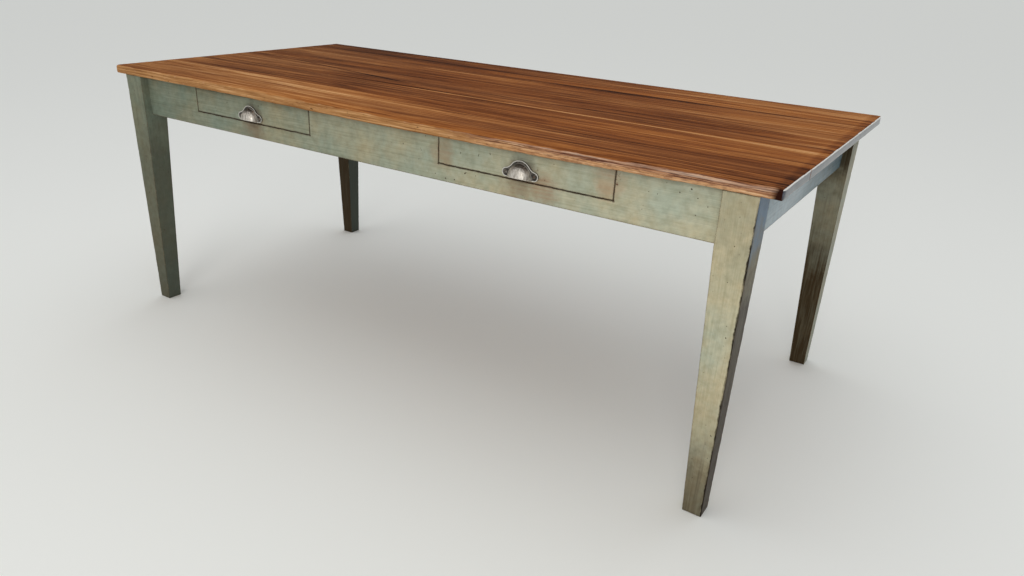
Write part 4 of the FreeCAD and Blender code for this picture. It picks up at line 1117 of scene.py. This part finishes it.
def model_pull():
    """Cup pull standing on Z = 0 with its back on the XZ plane: bell plate, hollow bowl, beaded lip."""
    pull = bell_plate()
    combine(pull, ellipsoid(BOWL), "UNION")
    combine(pull, ellipsoid(BOWL - Vector((BOWL_WALL,) * 3)), "DIFFERENCE")
    below = (-CLEAR, -CLEAR, -CLEAR), (CLEAR, CLEAR, 0)
    cut_away(pull, *below, place=(0, -PLATE, 0), tilt=-LIP_TILT)
    combine(pull, lip_bead(), "UNION")
    cut_away(pull, *below)
    cut_away(pull, (-CLEAR, 0, -CLEAR), (CLEAR, CLEAR, CLEAR))
    modify(pull, "REMESH", mode="VOXEL", voxel_size=CASTING_GRAIN)
    modify(pull, "SMOOTH", factor=0.5, iterations=2)
    modify(pull, "DECIMATE", ratio=0.35)
    smooth(pull, 60)
    return pull


def make_pulls():
    model = model_pull()
    for drawer in ("left", "right"):
        node = f"{drawer}_drawer_pull"
        low, high = box(node)
        pull = copy_of(model, f"{node}_cast")
        place_in_mesh(pull, ((low.x + high.x) / 2, PULL_BACK, PULL_FOOT))
        stand_in(pull, node, CAST_METAL)
    bpy.data.objects.remove(model)


def slot_pull_screws(drawer, turns):
    """The two screws of a pull, with a slot across each head."""
    node = f"{drawer}_drawer_pull_screws"
    low, high = box(node)
    screws = eased_copy(node, SCREW_EDGE, STEEL)
    for side, turn in zip((-1, 1), turns):
        middle = (low.x + high.x) / 2 + side * (PULL_WIDTH / 2 - EAR_RADIUS)
        corner = Vector((SLOT_REACH, SLOT_DEPTH, SLOT_WIDTH / 2))
        slot = block("slot", -corner, corner)
        slot.rotation_euler = (0, math.radians(turn), 0)
        slot.location = (middle, low.y, PULL_FOOT + EAR_RADIUS)
        settle(slot)
        combine(screws, slot, "DIFFERENCE")


make_pulls()
slot_pull_screws("left", (24, 71))
slot_pull_screws("right", (-38, 55))


# Floor, light and camera.

FLOOR_SIZE = 400
BACKDROP = tone(205, 207, 205)
CAMERA_PLACE = (1.3532, -1.9092, 1.1462)
CAMERA_TURN = (64.634, -2.300, 33.742)
LENS, SENSOR = 27.244, 36
SHIFT_X, SHIFT_Y = 0.0095, 0.0280


def make_floor():
    floor = primitive(bpy.ops.mesh.primitive_plane_add, "floor", size=FLOOR_SIZE, location=(0, 0, 0))
    made = Finish("pale_floor")
    path = made.node("ShaderNodeLightPath")
    seen = made.math("MAXIMUM", path.outputs["Is Camera Ray"], path.outputs["Is Glossy Ray"])
    seen = made.math("MAXIMUM", seen, path.outputs["Is Transmission Ray"])
    made.set(Base_Color=made.mix(seen, tone(236, 235, 230), tone(246, 248, 247)), Roughness=0.95,
             Specular_IOR_Level=0.0)
    floor.data.materials.append(made.material)


def lamp(name, place, target, size, power, colour):
    """Round lamp turned to a target."""
    light = bpy.data.lights.new(name, "AREA")
    light.shape = "DISK"
    light.size = size
    light.energy = power
    light.color = colour
    made = bpy.data.objects.new(name, light)
    bpy.context.scene.collection.objects.link(made)
    made.location = place
    made.rotation_euler = (Vector(target) - Vector(place)).to_track_quat("-Z", "Y").to_euler()


def light_scene():
    """Pale room: bright above, warm in front, cool at the back, dark to the right."""
    world = bpy.data.worlds.new("room")
    bpy.context.scene.world = world
    world.use_nodes = True
    room = Sheet(world.node_tree, "Generated")
    x, y, z = room.axes()
    front = room.spread(y, 0.0, -1.0)
    back = room.spread(y, 0.0, 1.0)
    above = room.spread(z, 0.0, 1.0)
    level = room.add(0.30, room.times(above, 0.52), room.times(front, 0.26), room.times(back, 0.46))
    level = room.times(level, room.spread(x, 0.0, 0.9, 1.0, 0.25))
    colour = room.mix(back, (1.0, 0.985, 0.95, 1), (0.90, 0.96, 1.0, 1))
    light = room.tree.nodes["Background"]
    room.feed(light.inputs["Color"], colour)
    room.feed(light.inputs["Strength"], level)
    seen = room.node("ShaderNodeBackground", {"Color": BACKDROP})
    path = room.node("ShaderNodeLightPath")
    either = room.node("ShaderNodeMixShader", {0: path.outputs["Is Camera Ray"], 1: light.outputs[0],
                                               2: seen.outputs[0]})
    room.feed(room.tree.nodes["World Output"].inputs["Surface"], either.outputs[0])
    lamp("ceiling", (0.2, -0.3, 4.5), (0, 0, 0), size=4.5, power=18, colour=(1.0, 0.98, 0.95))
    lamp("front_window", (2.2, -5.0, 2.6), (0.3, 0, 0.6), size=2.4, power=70, colour=(1.0, 0.98, 0.93))


def make_camera():
    camera = bpy.data.cameras.new("camera")
    made = bpy.data.objects.new("camera", camera)
    bpy.context.scene.collection.objects.link(made)
    made.location = CAMERA_PLACE
    made.rotation_euler = [math.radians(angle) for angle in CAMERA_TURN]
    camera.sensor_width = SENSOR
    camera.lens = LENS
    camera.shift_x = SHIFT_X
    camera.shift_y = SHIFT_Y
    bpy.context.scene.camera = made


make_floor()
light_scene()
make_camera()
bpy.context.scene.view_settings.view_transform = "Standard"
